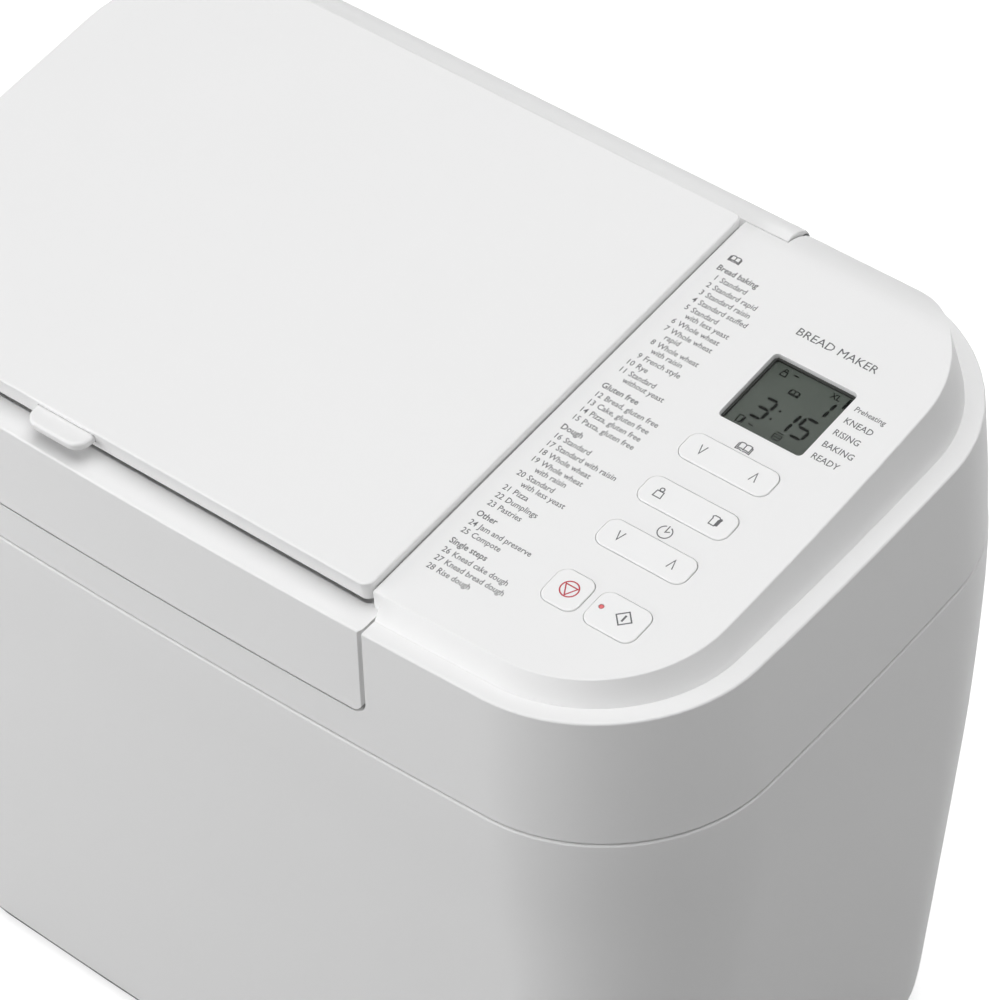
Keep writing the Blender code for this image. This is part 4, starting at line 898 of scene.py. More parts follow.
def digit(bm, char, x, y, width, height, depth, thick=1.3, lean=0.09):
    """A leaning seven-segment digit, its lower left corner at (x, y)."""
    gap = thick * 0.16
    ends = {
        "a": ((0, 1), (1, 1)), "b": ((1, 1), (1, 0.5)), "c": ((1, 0.5), (1, 0)),
        "d": ((0, 0), (1, 0)), "e": ((0, 0.5), (0, 0)), "f": ((0, 1), (0, 0.5)),
        "g": ((0, 0.5), (1, 0.5)),
    }
    for key in DIGIT_BARS[char]:
        (u0, v0), (u1, v1) = ends[key]
        p = Vector((u0 * width + lean * v0 * height, v0 * height))
        q = Vector((u1 * width + lean * v1 * height, v1 * height))
        shrink = (q - p).normalized() * gap
        p += shrink + Vector((x, y))
        q += Vector((x, y)) - shrink
        bar(bm, p, q, thick, depth)


def display_marks():
    """Everything that the display shows, drawn in the machine's X and Y."""
    bm = bmesh.new()
    ink = 0.04
    digit(bm, "3", 135.4, 25.3, 5.0, 9.6, ink)
    digit(bm, "1", 145.5, 25.3, 5.0, 9.6, ink)
    digit(bm, "5", 152.8, 25.3, 5.0, 9.6, ink)
    digit(bm, "1", 152.9, 37.8, 4.9, 7.9, ink)
    for x, y in ((143.9, 32.2), (143.2, 27.5)):
        filled([(x + 0.55 * u, y + 0.55 * v) for u, v in circle(1.0, steps=12)], ink, bm)
    ribbon([(137.9, 48.3), (140.1, 48.3)], 0.55, ink, False, bm)
    ribbon([(138.0, 21.6), (140.2, 21.6)], 0.55, ink, False, bm)
    filled([(160.8, 45.0), (162.0, 45.0), (162.2, 50.0), (161.0, 50.0)], ink, bm)
    for draw, x, y, size in ((weight_sign, 134.7, 47.4, 1.6), (book_sign, 143.2, 41.6, 1.7),
                             (slice_sign, 134.3, 21.9, 1.7)):
        part = bmesh.new()
        draw(part, size, 0.42, ink)
        bmesh.ops.transform(part, matrix=Matrix.Translation((x, y, 0)), verts=part.verts)
        bm = joined([bm, part])
    pot = [(148.6, 20.7), (151.4, 20.7), (151.8, 23.0), (148.2, 23.0)]
    ribbon(pot, 0.4, ink, True, bm)
    for row in (21.9, 24.0):
        ribbon([(148.6, row), (151.4, row)], 0.4, ink, False, bm)
    size_word = lettering("XL", 3.6, 154.3, 46.9, bold=0.05)
    return joined([bm, size_word])


DISPLAY_DEPTH = 3.1


def build_display():
    x, y, width, depth = window_place()
    face = made("display_face", on_panel(
        slab(rounded_rect(44.0, 41.0, 2.0, 4), -8.4, -DISPLAY_DEPTH), x, y))
    shade(face)
    settle(face, display_surface(), "housing", "display_face", "display_module")
    marks = made("display_marks", sloped(display_marks(), 0.01 - DISPLAY_DEPTH))
    settle(marks, display_ink(), "housing", "display_face")
    foot = -DISPLAY_DEPTH + 0.05
    rings = rect_rings(((foot, -0.15), (-2.05, -0.15), (-2.0, -1.0), (foot, -1.0)),
                       width, depth, WINDOW_R)
    gasket = made("display_gasket", on_panel(skin(rings, loop=True), x, y))
    shade(gasket)
    settle(gasket, dark_foam(), "housing", "display_face")
    rings = rect_rings(((-DISPLAY_DEPTH + 0.3, -1.05), (-DISPLAY_DEPTH + 1.0, -1.05)),
                       width, depth, WINDOW_R)
    pane = made("display_window", on_panel(skin(rings), x, y))
    settle(pane, clear_window(), "housing", "display_lens", "display_lens")


# ------------------------------------------------------------------ lid and flap

LID_RIGHT = 81.9
LID_REAR_Y = 95.2
LID_EDGE_R = 3.4
FLAP_GAP = 2.5
TAB_X = -61.0
TAB_W = 27.0
TAB_R = 6.0


def upright_corner(levels, x, radius):
    """What a rounded upright edge leaves off where the front meets the flat end at x."""
    rings = []
    for z, inset in levels:
        front = min(point[1] for point in level(z, inset))
        plan = [(x - radius, front - 3.0), (x + 3.0, front - 3.0), (x + 3.0, front + radius)]
        plan += [(x - radius + r, front + radius + y)
                 for r, y in arc(0.0, 0.0, radius, 0, -90, 9)]
        rings.append([(px, py, z) for px, py in plan])
    return skin(rings)


def build_lid_frame():
    wall = shell_sizes().wall
    low_z = LID_LOW.z
    right = LID_RIGHT
    rear = LID_REAR_Y
    lid = made("moulded_lid_frame", skin([level(z, inset) for z, inset in ring_levels(low_z)]))
    keep = block((-300, -300, 200), (right, rear, 400))
    levels = [(low_z - 2.0, -1.9), (low_z + 3.0, -1.9), (SEAM_Z + 24.0, -1.7),
              (LEDGE_Z - 20.0, -0.95), (LEDGE_Z + 2.0, 0.0)]
    corner_r = BAY_CORNER_R
    corner = made("corner", block((right - corner_r, -300, low_z - 20),
                                  (right + corner_r, 300, low_z + corner_r)))
    rod = turned([(0, -200), (corner_r, -200), (corner_r, 200), (0, 200)], segments=64)
    carve(corner, ("DIFFERENCE", laid(rod, "Y", (right - corner_r, 0, low_z + corner_r))))
    room = made("lid_room", skin([level(z, wall + 1.0) for z in (low_z - 5, LEDGE_Z - 3.0)]))
    carve(room, ("INTERSECT", block((-300, -300, low_z - 4), (right - 7.2, rear - 3, LEDGE_Z - 3.2))))
    left = ROLL_LOW.x + 4
    right_end = parting_x(96.0, -6.0)
    roll_room = laid(turned([(0, -160), (HINGE_R + GAP, -160), (HINGE_R + GAP, 160), (0, 160)],
                            segments=96), "X", ((ROLL_LOW.x + ROLL_HIGH.x) / 2, HINGE_Y, HINGE_Z))
    cup_low, cup_high = frame_mm("fruit_cup")
    hole = rounded_rect(92.0, 62.0, 12.0, 10, ((cup_low.x + cup_high.x) / 2,
                                              (cup_low.y + cup_high.y) / 2))
    vents = [("DIFFERENCE", slab(rounded_rect(16.0, 3.2, 1.5, 6, (CX + 78.0, CY - 30.0 + 10.0 * i)),
                                 LEDGE_Z - 10, LEDGE_Z + 10)) for i in range(7)]
    carve(lid,
          ("INTERSECT", keep),
          ("DIFFERENCE", upright_corner(levels, right, LID_EDGE_R)),
          ("DIFFERENCE", beside_parting(-0.9, -111.0, 130.0, 200, 400, True)),
          ("DIFFERENCE", mesh_of(corner)),
          ("DIFFERENCE", mesh_of(room)),
          ("DIFFERENCE", slab(flap_plan(1.2, 1.8), LEDGE_Z - 1.9, LEDGE_Z + 4.0)),
          ("UNION", slab(flap_plan(6.0, 6.6), LEDGE_Z - 2.3, LEDGE_Z - 0.1)),
          ("UNION", block((left, rear - 2.5, LEDGE_Z - 7.4), (right_end, HINGE_Y - 0.5, LEDGE_Z - 0.2))),
          ("UNION", block((left, rear, LEDGE_Z - 6.4), (right_end, HINGE_Y - 0.5, LEDGE_Z + 5.5))),
          ("DIFFERENCE", roll_room),
          ("DIFFERENCE", slab(hole, LEDGE_Z - 10, LEDGE_Z + 10)),
          *vents)
    shade(soften(lid, 0.5, 50.0))
    settle(lid, white_plastic(), "lid", "body_white", "lid_frame")


def flap_plan(inset, inset_front, steps=14):
    """The flap in plan: tight corners at the parting line, wide ones on the left."""
    x0 = -189.0 + inset
    y0 = -113.6 + inset_front
    y1 = 94.4 - inset
    specs = ((parting_x(y0, -0.5) - inset, y0, -90, 4.0), (parting_x(y1, -0.5) - inset, y1, 0, 2.5),
             (x0, y1, 90, 52.0), (x0, y0, 180, 52.0))
    points = []
    for cx, cy, start, radius in specs:
        radius = max(radius - inset, 1.0)
        sx = -1 if cx > 0 else 1
        sy = 1 if cy < 0 else -1
        for i in range(steps + 1):
            angle = math.radians(start + 90 * i / steps)
            points.append((cx + sx * radius + radius * math.cos(angle),
                           cy + sy * radius + radius * math.sin(angle)))
    return points


def build_top_flap():
    rise = shell_sizes().flap_rise
    low = LEDGE_Z + FLAP_GAP
    radius = 0.7

    def ring(z, inset, inset_front=None):
        inset_front = inset if inset_front is None else inset_front
        return [(x, y, z(y) if callable(z) else z) for x, y in flap_plan(inset, inset_front)]

    outer = [ring(low, 1.2, 1.9), ring(low + 0.35, 0.6, 1.2), ring(low + 1.1, 0.35, 0.85),
             ring(low + 4.0, 0.2, 0.5)]
    outer += [ring(lambda y, z=z: panel_z(y, rise + z), radius - r, radius - r)
              for r, z in arc(0.0, -radius, radius, 0, 90, 5)]
    inner = [ring(lambda y: panel_z(y, rise - 2.4), 3.2, 3.8), ring(low, 3.2, 3.8)]
    flap = made("moulded_top_flap", skin(inner + outer))
    tab_low, tab_high = frame_mm("flap_tab")
    carve(flap, ("DIFFERENCE", block((TAB_X - TAB_W / 2 - 0.2, -119, tab_low.z - 0.2),
                                     (TAB_X + TAB_W / 2 + 0.2, -106, tab_high.z + 0.2))))
    shade(soften(flap, 0.3, 60.0), 40.0)
    settle(flap, white_plastic(), "top_cover", "body_white", "top_flap")
    front, back = tab_low.y, tab_high.y
    half = TAB_W / 2
    rings = []
    for z, grow in [(tab_low.z, -0.8), (tab_low.z + 0.25, -0.25), (tab_low.z + 0.8, 0.0)] + [
            (tab_high.z - 1.2 + 1.2 * math.sin(a), 1.2 * math.cos(a) - 1.2)
            for a in (math.radians(18 * i) for i in range(6))]:
        plan = [(TAB_X - half, back)]
        for side in (-1, 1):
            for i in range(13):
                angle = math.pi / 2 * (i / 12 if side < 0 else 1 - i / 12)
                reach = TAB_R + grow
                plan.append((TAB_X + side * (half - TAB_R + reach * math.cos(angle)),
                             front + TAB_R - reach * math.sin(angle)))
        plan.append((TAB_X + half, back))
        plan[0] = (plan[1][0], back)
        plan[-1] = (plan[-2][0], back)
        rings.append([(px, py, z) for px, py in plan])
    tab = made("moulded_flap_tab", skin(rings))
    shade(tab, 40.0)
    settle(tab, white_plastic(), "top_cover", "body_white", "flap_tab")


def build_hinge():
    """The hinge cover: round about the pin below and in front, flat above, rolled down at the rear."""
    profile = []
    for angle in range(142, 291, 4):
        reach = HINGE_R + 1.9 * min(max((200 - angle) / 30.0, 0.0), 1.0)
        turn = math.radians(angle)
        profile.append((HINGE_Y + reach * math.cos(turn), HINGE_Z + reach * math.sin(turn)))
    profile.append((HINGE_Y + 4.4, HINGE_Z - 7.0))
    profile += [(HINGE_Y - 6.0 + r, z) for r, z in arc(0.0, HINGE_Z - 2.6, 10.5, 0, 90, 14)]
    rings = []
    for x, shrink in ((ROLL_LOW.x, 0.93), (ROLL_LOW.x + 0.3, 0.98), (ROLL_LOW.x + 0.9, 1.0),
                      (ROLL_HIGH.x - 0.9, 1.0), (ROLL_HIGH.x - 0.3, 0.98), (ROLL_HIGH.x, 0.93)):
        rings.append([(x, HINGE_Y + (y - HINGE_Y) * shrink, HINGE_Z + (z - HINGE_Z) * shrink)
                      for y, z in profile])
    cover = made("moulded_hinge_cover", skin(rings))
    middle = (ROLL_LOW.x + ROLL_HIGH.x) / 2
    bore = laid(turned([(0, -200), (PIN_BORE_R, -200), (PIN_BORE_R, 200), (0, 200)], segments=32),
                "X", (middle, HINGE_Y, HINGE_Z))
    carve(cover, ("DIFFERENCE", bore))
    shade(soften(cover, 0.2, 60.0), 30.0)
    settle(cover, white_plastic(), "lid", "body_white", "hinge_roll")


# ------------------------------------------------------------------ materials

def add_node(tree, kind, links=(), **settings):
    """Adds a node, sets its sockets or properties, and links (output, socket) pairs into it."""
    new = tree.nodes.new(kind)
    for key, value in settings.items():
        if key in new.inputs:
            new.inputs[key].default_value = value
        else:
            setattr(new, key, value)
    for output, socket in links:
        tree.links.new(output, new.inputs[socket])
    return new


def fresh_material(name, color, roughness, metallic=0.0, ior=1.5):
    """(material, tree, shader) with a plain shader, or (material, None, None) if it exists."""
    found = bpy.data.materials.get(name)
    if found:
        return found, None, None
    material = bpy.data.materials.new(name)
    material.use_nodes = True
    tree = material.node_tree
    shader = tree.nodes["Principled BSDF"]
    shader.inputs["Base Color"].default_value = (*color, 1.0)
    shader.inputs["Roughness"].default_value = roughness
    shader.inputs["Metallic"].default_value = metallic
    shader.inputs["IOR"].default_value = ior
    material.diffuse_color = (*color, 1.0)
    return material, tree, shader


def place_in_mm(tree, stretch=(1.0, 1.0, 1.0)):
    """Object coordinates counted in millimetres."""
    source = add_node(tree, "ShaderNodeTexCoord")
    return add_node(tree, "ShaderNodeMapping", [(source.outputs["Object"], "Vector")],
                    Scale=tuple(s / MM for s in stretch))


def vary(tree, shader, pattern, socket, low, high):
    """Lets a pattern move a single-valued socket between two values."""
    spread = add_node(tree, "ShaderNodeMapRange", [(pattern, "Value")])
    spread.inputs["To Min"].default_value = low
    spread.inputs["To Max"].default_value = high
    tree.links.new(spread.outputs["Result"], shader.inputs[socket])


def tone(tree, shader, pattern, dark, light):
    """Lets a pattern move the base colour between two tones."""
    ramp = add_node(tree, "ShaderNodeValToRGB", [(pattern, "Fac")])
    ramp.color_ramp.elements[0].color = (*dark, 1.0)
    ramp.color_ramp.elements[1].color = (*light, 1.0)
    tree.links.new(ramp.outputs["Color"], shader.inputs["Base Color"])


def bump(tree, shader, pattern, strength, height_mm):
    relief = add_node(tree, "ShaderNodeBump", [(pattern, "Height")], Strength=strength,
                      Distance=height_mm * MM)
    tree.links.new(relief.outputs["Normal"], shader.inputs["Normal"])


def moulded(name, color, roughness, grain_mm, relief, spread=0.02):
    """Injection-moulded plastic: even colour, a fine tool grain and slightly uneven gloss."""
    material, tree, shader = fresh_material(name, color, roughness, ior=1.54)
    if tree is None:
        return material
    place = place_in_mm(tree)
    grain = add_node(tree, "ShaderNodeTexNoise", [(place.outputs["Vector"], "Vector")],
                     Scale=1 / grain_mm, Detail=3.0, Roughness=0.6)
    cloud = add_node(tree, "ShaderNodeTexNoise", [(place.outputs["Vector"], "Vector")],
                     Scale=1 / 45.0, Detail=2.0)
    vary(tree, shader, cloud.outputs["Fac"], "Roughness", roughness - 0.04, roughness + 0.04)
    dark = tuple(c * (1 - spread) for c in color)
    tone(tree, shader, cloud.outputs["Fac"], dark, color)
    bump(tree, shader, grain.outputs["Fac"], relief, 0.05)
    return material


def white_plastic():
    # ABS, injection moulded in a finely spark-eroded tool: satin white without a visible texture.
    return moulded("ABS, satin white moulding", tuple(colours().body), 0.46, 0.6, 0.05, 0.01)


def key_plastic():
    # ABS key caps from a smoother tool: slightly glossier and brighter than the body.
    return moulded("ABS, smooth white key cap", tuple(colours().key), 0.36, 0.5, 0.03, 0.005)


def grey_ink():
    # Pad-printed ink: matt mid grey with slightly uneven cover.
    return moulded("Pad printing ink, grey", tuple(colours().ink), 0.6, 0.3, 0.1, 0.08)


def red_ink():
    # The same ink in red, for the stop sign.
    return moulded("Pad printing ink, red", tuple(colours().stop_ink), 0.55, 0.3, 0.1, 0.08)


def display_surface():
    # Polariser film over liquid crystal: flat grey green, silky, with a faint lighter bloom.
    material, tree, shader = fresh_material("Polariser film, grey green", tuple(colours().display), 0.5)
    if tree is None:
        return material
    shader.inputs["Specular IOR Level"].default_value = 0.08
    place = place_in_mm(tree)
    bloom = add_node(tree, "ShaderNodeTexNoise", [(place.outputs["Vector"], "Vector")],
                     Scale=1 / 22.0, Detail=1.0)
    base = tuple(colours().display)
    tone(tree, shader, bloom.outputs["Fac"], tuple(c * 0.92 for c in base),
         tuple(c * 1.1 for c in base))
    return material


def display_ink():
    # A switched-on crystal segment: nearly black, with no gloss of its own.
    material = moulded("Liquid crystal segment, dark", srgb("0C0E0C"), 0.6, 0.3, 0.02, 0.1)
    material.node_tree.nodes["Principled BSDF"].inputs["Specular IOR Level"].default_value = 0.05
    return material


def dark_foam():
    # Foam strip round the display glass: dull and black.
    return moulded("PU foam gasket, black", srgb("3A3C3A"), 0.9, 0.35, 0.5, 0.2)


def clear_window():
    # Clear acrylic sheet: a thin dark veil with a weak gloss.
    material, tree, shader = fresh_material("Acrylic window, clear", (0.01, 0.01, 0.01), 0.08, ior=1.49)
    if tree is None:
        return material
    shader.inputs["Alpha"].default_value = 0.1
    place = place_in_mm(tree)
    haze = add_node(tree, "ShaderNodeTexNoise", [(place.outputs["Vector"], "Vector")], Scale=1 / 8.0)
    vary(tree, shader, haze.outputs["Fac"], "Roughness", 0.05, 0.12)
    return material


def red_lens():
    # Diffuse red epoxy of an indicator lamp: a soft glow of colour through a satin dome.
    material, tree, shader = fresh_material("Epoxy lamp dome, red", srgb("E0666A"), 0.3, ior=1.52)
    if tree is None:
        return material
    shader.inputs["Subsurface Weight"].default_value = 0.3
    shader.inputs["Subsurface Radius"].default_value = (0.002, 0.0006, 0.0005)
    place = place_in_mm(tree)
    cloud = add_node(tree, "ShaderNodeTexNoise", [(place.outputs["Vector"], "Vector")], Scale=1 / 1.2)
    tone(tree, shader, cloud.outputs["Fac"], srgb("D8555A"), srgb("E87A7C"))
    return material


def dark_plastic():
    # Polypropylene base tray: charcoal, with a coarse leathery tool grain.
    return moulded("Polypropylene, charcoal grain", srgb("2B2C2E"), 0.6, 0.9, 0.5, 0.15)


def grey_acetal():
    # Acetal pulleys and couplings: waxy mid grey.
    return moulded("Acetal, grey moulding", srgb("85878A"), 0.42, 0.8, 0.12, 0.05)


def black_rubber():
    # Natural rubber: matt black with a dusty bloom.
    return moulded("Rubber, black moulded", srgb("1E1E1F"), 0.85, 0.5, 0.4, 0.3)


def pale_silicone():
    # Silicone seal: pale grey, dull and slightly translucent.
    material = moulded("Silicone, pale grey", srgb("C9C9C4"), 0.62, 0.7, 0.15, 0.06)
    material.node_tree.nodes["Principled BSDF"].inputs["Subsurface Weight"].default_value = 0.15
    material.node_tree.nodes["Principled BSDF"].inputs["Subsurface Radius"].default_value = (
        0.002, 0.002, 0.0018)
    return material


def drawn_metal(name, color, roughness, line_mm, relief, stretch=(0.04, 1.0, 1.0)):
    """Bare metal with fine lines along one direction."""
    material, tree, shader = fresh_material(name, color, roughness, metallic=1.0)
    if tree is None:
        return material
    place = place_in_mm(tree, stretch)
    lines = add_node(tree, "ShaderNodeTexNoise", [(place.outputs["Vector"], "Vector")],
                     Scale=1 / line_mm, Detail=4.0, Roughness=0.65)
    vary(tree, shader, lines.outputs["Fac"], "Roughness", roughness - 0.08, roughness + 0.1)
    tone(tree, shader, lines.outputs["Fac"], tuple(c * 0.82 for c in color), color)
    bump(tree, shader, lines.outputs["Fac"], relief, 0.04)
    return material


def aluminium_sheet():
    # Aluminised sheet, deep drawn: pale, with soft vertical draw lines.
    return drawn_metal("Aluminised sheet, deep drawn", srgb("C4C5C7"), 0.38, 1.4, 0.15, (1.0, 1.0, 0.05))


def cast_aluminium():
    # Die-cast aluminium: dull grey with a fine open grain.
    color = srgb("B4B6B8")
    material, tree, shader = fresh_material("Aluminium, die cast", color, 0.5, metallic=1.0)
    if tree is None:
        return material
    place = place_in_mm(tree)
    grain = add_node(tree, "ShaderNodeTexNoise", [(place.outputs["Vector"], "Vector")],
                     Scale=1 / 0.8, Detail=5.0, Roughness=0.7)
    vary(tree, shader, grain.outputs["Fac"], "Roughness", 0.44, 0.6)
    tone(tree, shader, grain.outputs["Fac"], tuple(c * 0.85 for c in color), color)
    bump(tree, shader, grain.outputs["Fac"], 0.3, 0.06)
    return material


def bright_steel():
    # Stainless wire and shafts, centreless ground: bright with rings round the axis.
    return drawn_metal("Stainless steel, ground", srgb("B8BABD"), 0.26, 0.5, 0.1)


def zinc_steel():
    # Zinc-coated pressed steel: cool grey with a spangle of crystals.
    material, tree, shader = fresh_material("Steel, zinc coated", srgb("A3A6AA"), 0.42, metallic=1.0)
    if tree is None:
        return material
    place = place_in_mm(tree)
    crystals = add_node(tree, "ShaderNodeTexVoronoi", [(place.outputs["Vector"], "Vector")],
                        Scale=1 / 6.0, Randomness=1.0)
    tone(tree, shader, crystals.outputs["Distance"], srgb("9A9DA1"), srgb("B4B7BB"))
    vary(tree, shader, crystals.outputs["Distance"], "Roughness", 0.34, 0.5)
    return material


def nonstick_coating():
    # Sprayed and baked fluoropolymer: charcoal, satin, with fine pale flecks.
    material, tree, shader = fresh_material("Fluoropolymer coating, charcoal", srgb("3A3B3E"), 0.48,
                                            ior=1.38)
    if tree is None:
        return material
    place = place_in_mm(tree)
    fleck = add_node(tree, "ShaderNodeTexNoise", [(place.outputs["Vector"], "Vector")],
                     Scale=1 / 0.9, Detail=1.0, Roughness=0.3)
    ramp = add_node(tree, "ShaderNodeValToRGB", [(fleck.outputs["Fac"], "Fac")])
    ramp.color_ramp.elements[0].position = 0.64
    ramp.color_ramp.elements[0].color = (*srgb("35363A"), 1.0)
    ramp.color_ramp.elements[1].position = 0.72
    ramp.color_ramp.elements[1].color = (*srgb("6E7074"), 1.0)
    tree.links.new(ramp.outputs["Color"], shader.inputs["Base Color"])
    bump(tree, shader, fleck.outputs["Fac"], 0.2, 0.03)
    return material


def circuit_board():
    # Glass epoxy board with solder mask: green, with a lighter pattern of tracks under it.
    material, tree, shader = fresh_material("Glass epoxy board, green mask", srgb("2F5A3C"), 0.35)
    if tree is None:
        return material
    place = place_in_mm(tree)
    tracks = add_node(tree, "ShaderNodeTexBrick", [(place.outputs["Vector"], "Vector")],
                      Scale=0.12, Color1=(*srgb("2C5438"), 1.0), Color2=(*srgb("326240"), 1.0),
                      Mortar=(*srgb("4C8A58"), 1.0))
    tree.links.new(tracks.outputs["Color"], shader.inputs["Base Color"])
    return material


# ------------------------------------------------------------------ frame nodes that stay

STAYING = {
    dark_plastic: ("base_plate", "cord_gland"),
    grey_acetal: ("drive_coupling", "drive_pulley", "motor_pulley", "pan_coupling", "motor_capacitor"),
    black_rubber: ("foot_1", "foot_2", "foot_3", "foot_4", "drive_belt"),
    zinc_steel: ("base_screw_1", "base_screw_2", "base_screw_3", "base_screw_4", "drive_bracket",
                 "motor"),
    bright_steel: ("motor_shaft", "drive_shaft", "blade_shaft", "temperature_probe",
                   "heating_element", "pan_ear_left", "pan_ear_right", "pan_handle",
                   "hinge_pin_left", "hinge_pin_right"),
    aluminium_sheet: ("oven_chamber", "heat_shield", "fruit_door", "lid_inner_plate"),
    cast_aluminium: ("shaft_bearing", "pan_mount", "pan_base_ring", "pan_bushing"),
    nonstick_coating: ("bread_pan", "kneading_blade", "fruit_cup"),
    pale_silicone: ("lid_seal",),
    circuit_board: ("control_board", "power_board"),
}


def smooth_by_angle():
    """A node group that shades smooth and leaves edges over its angle sharp."""
    name = "smooth by angle"
    if name in bpy.data.node_groups:
        return bpy.data.node_groups[name]
    group = bpy.data.node_groups.new(name, "GeometryNodeTree")
    group.interface.new_socket("Geometry", in_out="INPUT", socket_type="NodeSocketGeometry")
    group.interface.new_socket("Geometry", in_out="OUTPUT", socket_type="NodeSocketGeometry")
    entry = group.nodes.new("NodeGroupInput")
    leave = group.nodes.new("NodeGroupOutput")
    faces = add_node(group, "GeometryNodeSetShadeSmooth", [(entry.outputs[0], 0)], domain="FACE")
    angle = group.nodes.new("GeometryNodeInputMeshEdgeAngle")
    under = add_node(group, "FunctionNodeCompare", [(angle.outputs["Unsigned Angle"], 0)],
                     operation="LESS_THAN")
    under.inputs[1].default_value = math.radians(32.0)
    edges = add_node(group, "GeometryNodeSetShadeSmooth",
                     [(faces.outputs[0], 0), (under.outputs[0], "Shade Smooth")], domain="EDGE")
    group.links.new(edges.outputs[0], leave.inputs[0])
    return group


def dress(node, material, edge_mm=0.35):
    """Gives a frame node that stays its finish, small edge radii and smooth shading."""
    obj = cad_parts[node]
    obj.data.materials.clear()
    obj.data.materials.append(material)
    weld = obj.modifiers.new("weld", "WELD")
    weld.merge_threshold = 0.00001
    flat = obj.modifiers.new("flat faces", "DECIMATE")
    flat.decimate_type = "DISSOLVE"
    flat.angle_limit = math.radians(0.5)
    bevel = obj.modifiers.new("edge radius", "BEVEL")
    bevel.width = edge_mm * MM
    bevel.segments = 2
    bevel.limit_method = "ANGLE"
    bevel.angle_limit = math.radians(40.0)
    smooth = obj.modifiers.new("smooth by angle", "NODES")
    smooth.node_group = smooth_by_angle()
    return obj


def build_inner_pieces():
    for finish, nodes in STAYING.items():
        for node in nodes:
            dress(node, finish())


# ------------------------------------------------------------------ stage

CAMERA_PLACE = (0.88915, -0.93968, 1.58450)
CAMERA_TURN = (0.76486, 0.05369, 0.67952)


def studio_surface(name, color, strength):
    """Matt white sweep that also glows a little, as a lit shooting table does."""
    material, tree, shader = fresh_material(name, color, 0.9)
    if tree is None:
        return material
    shader.inputs["Emission Color"].default_value = (1.0, 1.0, 1.0, 1.0)
    shader.inputs["Emission Strength"].default_value = strength
    return material


def softbox(name, place, target, size, power):
    light = bpy.data.lights.new(name, "AREA")
    light.shape = "RECTANGLE"
    light.size, light.size_y = size
    light.energy = power
    obj = bpy.data.objects.new(name, light)
    obj.location = place
    obj.rotation_euler = (Vector(target) - Vector(place)).to_track_quat("-Z", "Y").to_euler()
    bpy.context.scene.collection.objects.link(obj)
    return obj


# Name, place and size of each softbox in metres; their powers are stage settings.
SOFTBOXES = (
    ("overhead", (0.0, 0.1, 2.6), (2.4, 2.4)),
    ("front_left", (-1.8, -2.0, 1.0), (1.6, 1.6)),
    ("front", (0.2, -2.8, 0.7), (1.8, 1.4)),
    ("right", (2.8, 0.2, 1.0), (1.6, 1.6)),
    ("rear", (0.0, 2.6, 1.6), (2.0, 1.6)),
    ("high_front", (-0.6, -1.8, 2.2), (1.6, 1.6)),
)


def studio_world(strength):
    """Light from below the horizon only, as a lit table sends it back."""
    world = bpy.data.worlds.new("table glow")
    world.use_nodes = True
    tree = world.node_tree
    background = tree.nodes["Background"]
    place = add_node(tree, "ShaderNodeTexCoord")
    split = add_node(tree, "ShaderNodeSeparateXYZ", [(place.outputs["Generated"], "Vector")])
    fade = add_node(tree, "ShaderNodeMapRange", [(split.outputs["Z"], "Value")],
                    interpolation_type="SMOOTHSTEP")
    for socket, value in (("From Min", -0.3), ("From Max", 0.3), ("To Min", strength), ("To Max", 0.0)):
        fade.inputs[socket].default_value = value
    background.inputs["Color"].default_value = (1.0, 1.0, 1.0, 1.0)
    tree.links.new(fade.outputs["Result"], background.inputs["Strength"])
    return world


def build_floor(radius, glow):
    """A round floor that curves up into a wall, invisible to the light that the machine gets."""
    radius = radius / MM
    profile = [(radius * 0.5, 0.0)]
    for step in range(1, 10):
        turn = math.radians(10 * step)
        profile.append((radius * (0.5 + 0.4 * math.sin(turn)), radius * 0.4 * (1 - math.cos(turn))))
    profile.append((radius * 0.9, radius))
    rings = [[(x, y, z) for x, y in circle(r, steps=96)] for r, z in profile]
    sweep = made("studio_floor", skin(rings, last=False))
    sweep.data.materials.append(studio_surface("Lit shooting table, white", (0.9, 0.9, 0.9), glow))
    sweep.visible_diffuse = False
    sweep.visible_shadow = False


def build_stage():
    scene = bpy.context.scene
    settings = scene.bread_stage
    build_floor(settings.floor_size, settings.floor_glow)
    lens = bpy.data.cameras.new("camera")
    lens.lens = settings.lens
    lens.sensor_width = 36.0
    lens.clip_end = 50.0
    camera = bpy.data.objects.new("camera", lens)
    camera.location = CAMERA_PLACE
    camera.rotation_euler = CAMERA_TURN
    scene.collection.objects.link(camera)
    scene.camera = camera
    for name, place, size in SOFTBOXES:
        softbox(name, place, (0.0, 0.0, 0.25), size, getattr(settings, name))
    scene.world = studio_world(settings.table_glow)
    scene.view_settings.view_transform = "Standard"


# ------------------------------------------------------------------ operators and panel

class BuildOperator:
    """Shared by the operators: runs one builder and reports the end."""

    bl_options = {"REGISTER", "UNDO"}

    def execute(self, context):
        self.build()
        return {"FINISHED"}


class BREAD_OT_body_shell(BuildOperator, bpy.types.Operator):
    """Build the tapered lower shell with its vents and gland hole"""

    bl_idname = "bread.body_shell"
    bl_label = "Body Shell"
    build = staticmethod(build_body_shell)


class BREAD_OT_top_housing(BuildOperator, bpy.types.Operator):
    """Build the upper ring, the deck under the lid and the hinge ear"""

    bl_idname = "bread.top_housing"
    bl_label = "Top Housing"
    build = staticmethod(build_top_housing)


class BREAD_OT_control_panel(BuildOperator, bpy.types.Operator):
    """Build the raised control panel with its key holes and window"""

    bl_idname = "bread.control_panel"
    bl_label = "Control Panel"
    build = staticmethod(build_control_panel)


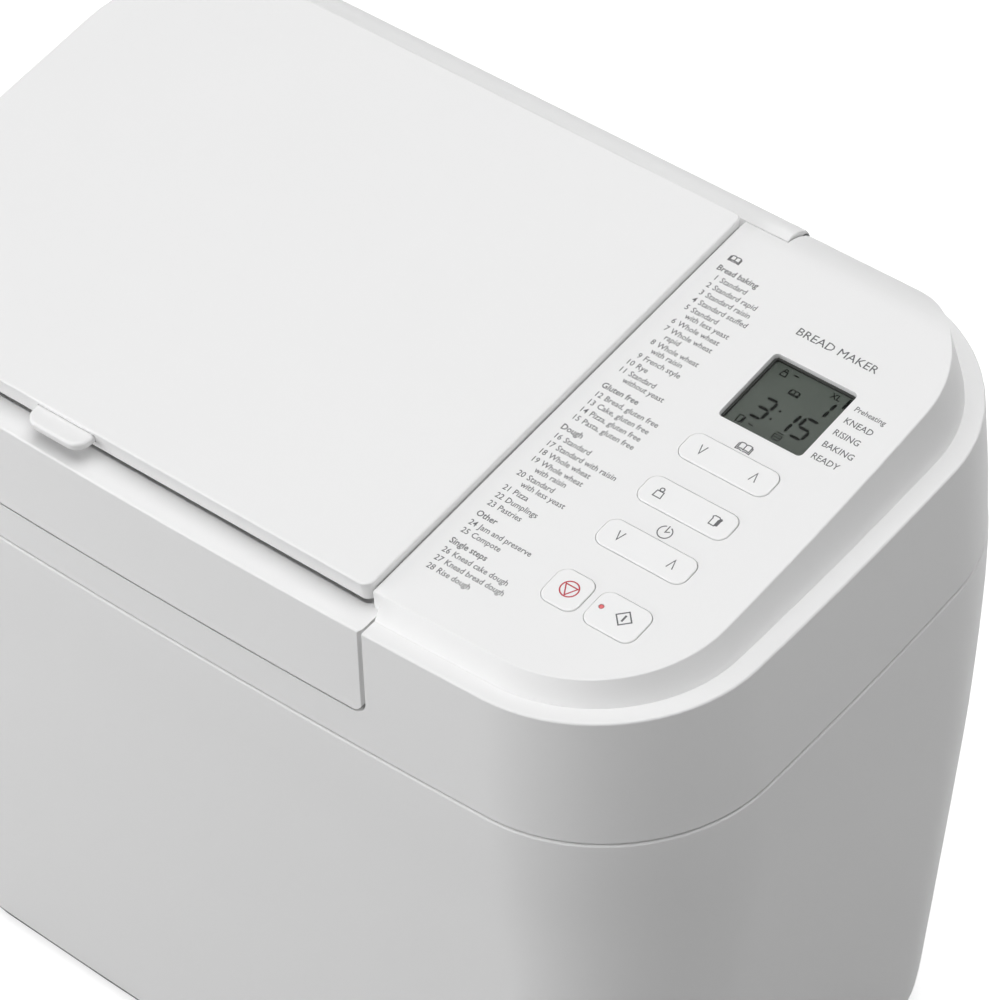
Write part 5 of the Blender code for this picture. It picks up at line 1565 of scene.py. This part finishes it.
class BREAD_OT_keys(BuildOperator, bpy.types.Operator):
    """Build the five key caps and the start light"""

    bl_idname = "bread.keys"
    bl_label = "Keys"
    build = staticmethod(build_keys)


class BREAD_OT_signs(BuildOperator, bpy.types.Operator):
    """Print the signs on the keys and the panel"""

    bl_idname = "bread.signs"
    bl_label = "Signs"
    build = staticmethod(build_signs)


class BREAD_OT_prints(BuildOperator, bpy.types.Operator):
    """Print the programme list and the status words"""

    bl_idname = "bread.prints"
    bl_label = "Prints"
    build = staticmethod(build_prints)


class BREAD_OT_display(BuildOperator, bpy.types.Operator):
    """Build the display with its segments, gasket and window"""

    bl_idname = "bread.display"
    bl_label = "Display"
    build = staticmethod(build_display)


class BREAD_OT_lid_frame(BuildOperator, bpy.types.Operator):
    """Build the lid's frame with its front band and deck"""

    bl_idname = "bread.lid_frame"
    bl_label = "Lid Frame"
    build = staticmethod(build_lid_frame)


class BREAD_OT_top_flap(BuildOperator, bpy.types.Operator):
    """Build the top flap and its lifting tab"""

    bl_idname = "bread.top_flap"
    bl_label = "Top Flap"
    build = staticmethod(build_top_flap)


class BREAD_OT_hinge(BuildOperator, bpy.types.Operator):
    """Build the hinge cover along the rear"""

    bl_idname = "bread.hinge"
    bl_label = "Hinge Roll"
    build = staticmethod(build_hinge)


class BREAD_OT_inner_pieces(BuildOperator, bpy.types.Operator):
    """Finish the pieces of the frame that stay as they are"""

    bl_idname = "bread.inner_pieces"
    bl_label = "Inner Pieces"
    build = staticmethod(build_inner_pieces)


class BREAD_OT_stage(BuildOperator, bpy.types.Operator):
    """Set up the floor, the light and the camera"""

    bl_idname = "bread.stage"
    bl_label = "Stage"
    build = staticmethod(build_stage)


OPERATORS = (
    BREAD_OT_stage, BREAD_OT_body_shell, BREAD_OT_top_housing, BREAD_OT_control_panel,
    BREAD_OT_keys, BREAD_OT_signs, BREAD_OT_prints, BREAD_OT_display, BREAD_OT_lid_frame,
    BREAD_OT_top_flap, BREAD_OT_hinge, BREAD_OT_inner_pieces,
)
GROUPS = {"bread_shell": ShellSizes, "bread_print": PrintSizes, "bread_colours": Colours,
          "bread_stage": StageSettings}


class BREAD_PT_panel(bpy.types.Panel):
    """Lists the builders and the settings"""

    bl_label = "Bread Machine"
    bl_idname = "BREAD_PT_panel"
    bl_space_type = "VIEW_3D"
    bl_region_type = "UI"
    bl_category = "Bread Machine"

    def draw(self, context):
        layout = self.layout
        for name, group in GROUPS.items():
            box = layout.box()
            box.label(text=group.__doc__.split(",")[0])
            for prop in group.__annotations__:
                box.prop(getattr(context.scene, name), prop)
        for operator in OPERATORS:
            layout.operator(operator.bl_idname)


def register():
    for group in GROUPS.values():
        bpy.utils.register_class(group)
    for name, group in GROUPS.items():
        setattr(bpy.types.Scene, name, PointerProperty(type=group))
    for operator in OPERATORS:
        bpy.utils.register_class(operator)
    bpy.utils.register_class(BREAD_PT_panel)


def unregister():
    bpy.utils.unregister_class(BREAD_PT_panel)
    for operator in reversed(OPERATORS):
        bpy.utils.unregister_class(operator)
    for name in GROUPS:
        delattr(bpy.types.Scene, name)
    for group in reversed(GROUPS.values()):
        bpy.utils.unregister_class(group)


def main():
    register()
    for operator in OPERATORS:
        module, name = operator.bl_idname.split(".")
        getattr(getattr(bpy.ops, module), name)()


if __name__ == "__main__":
    main()
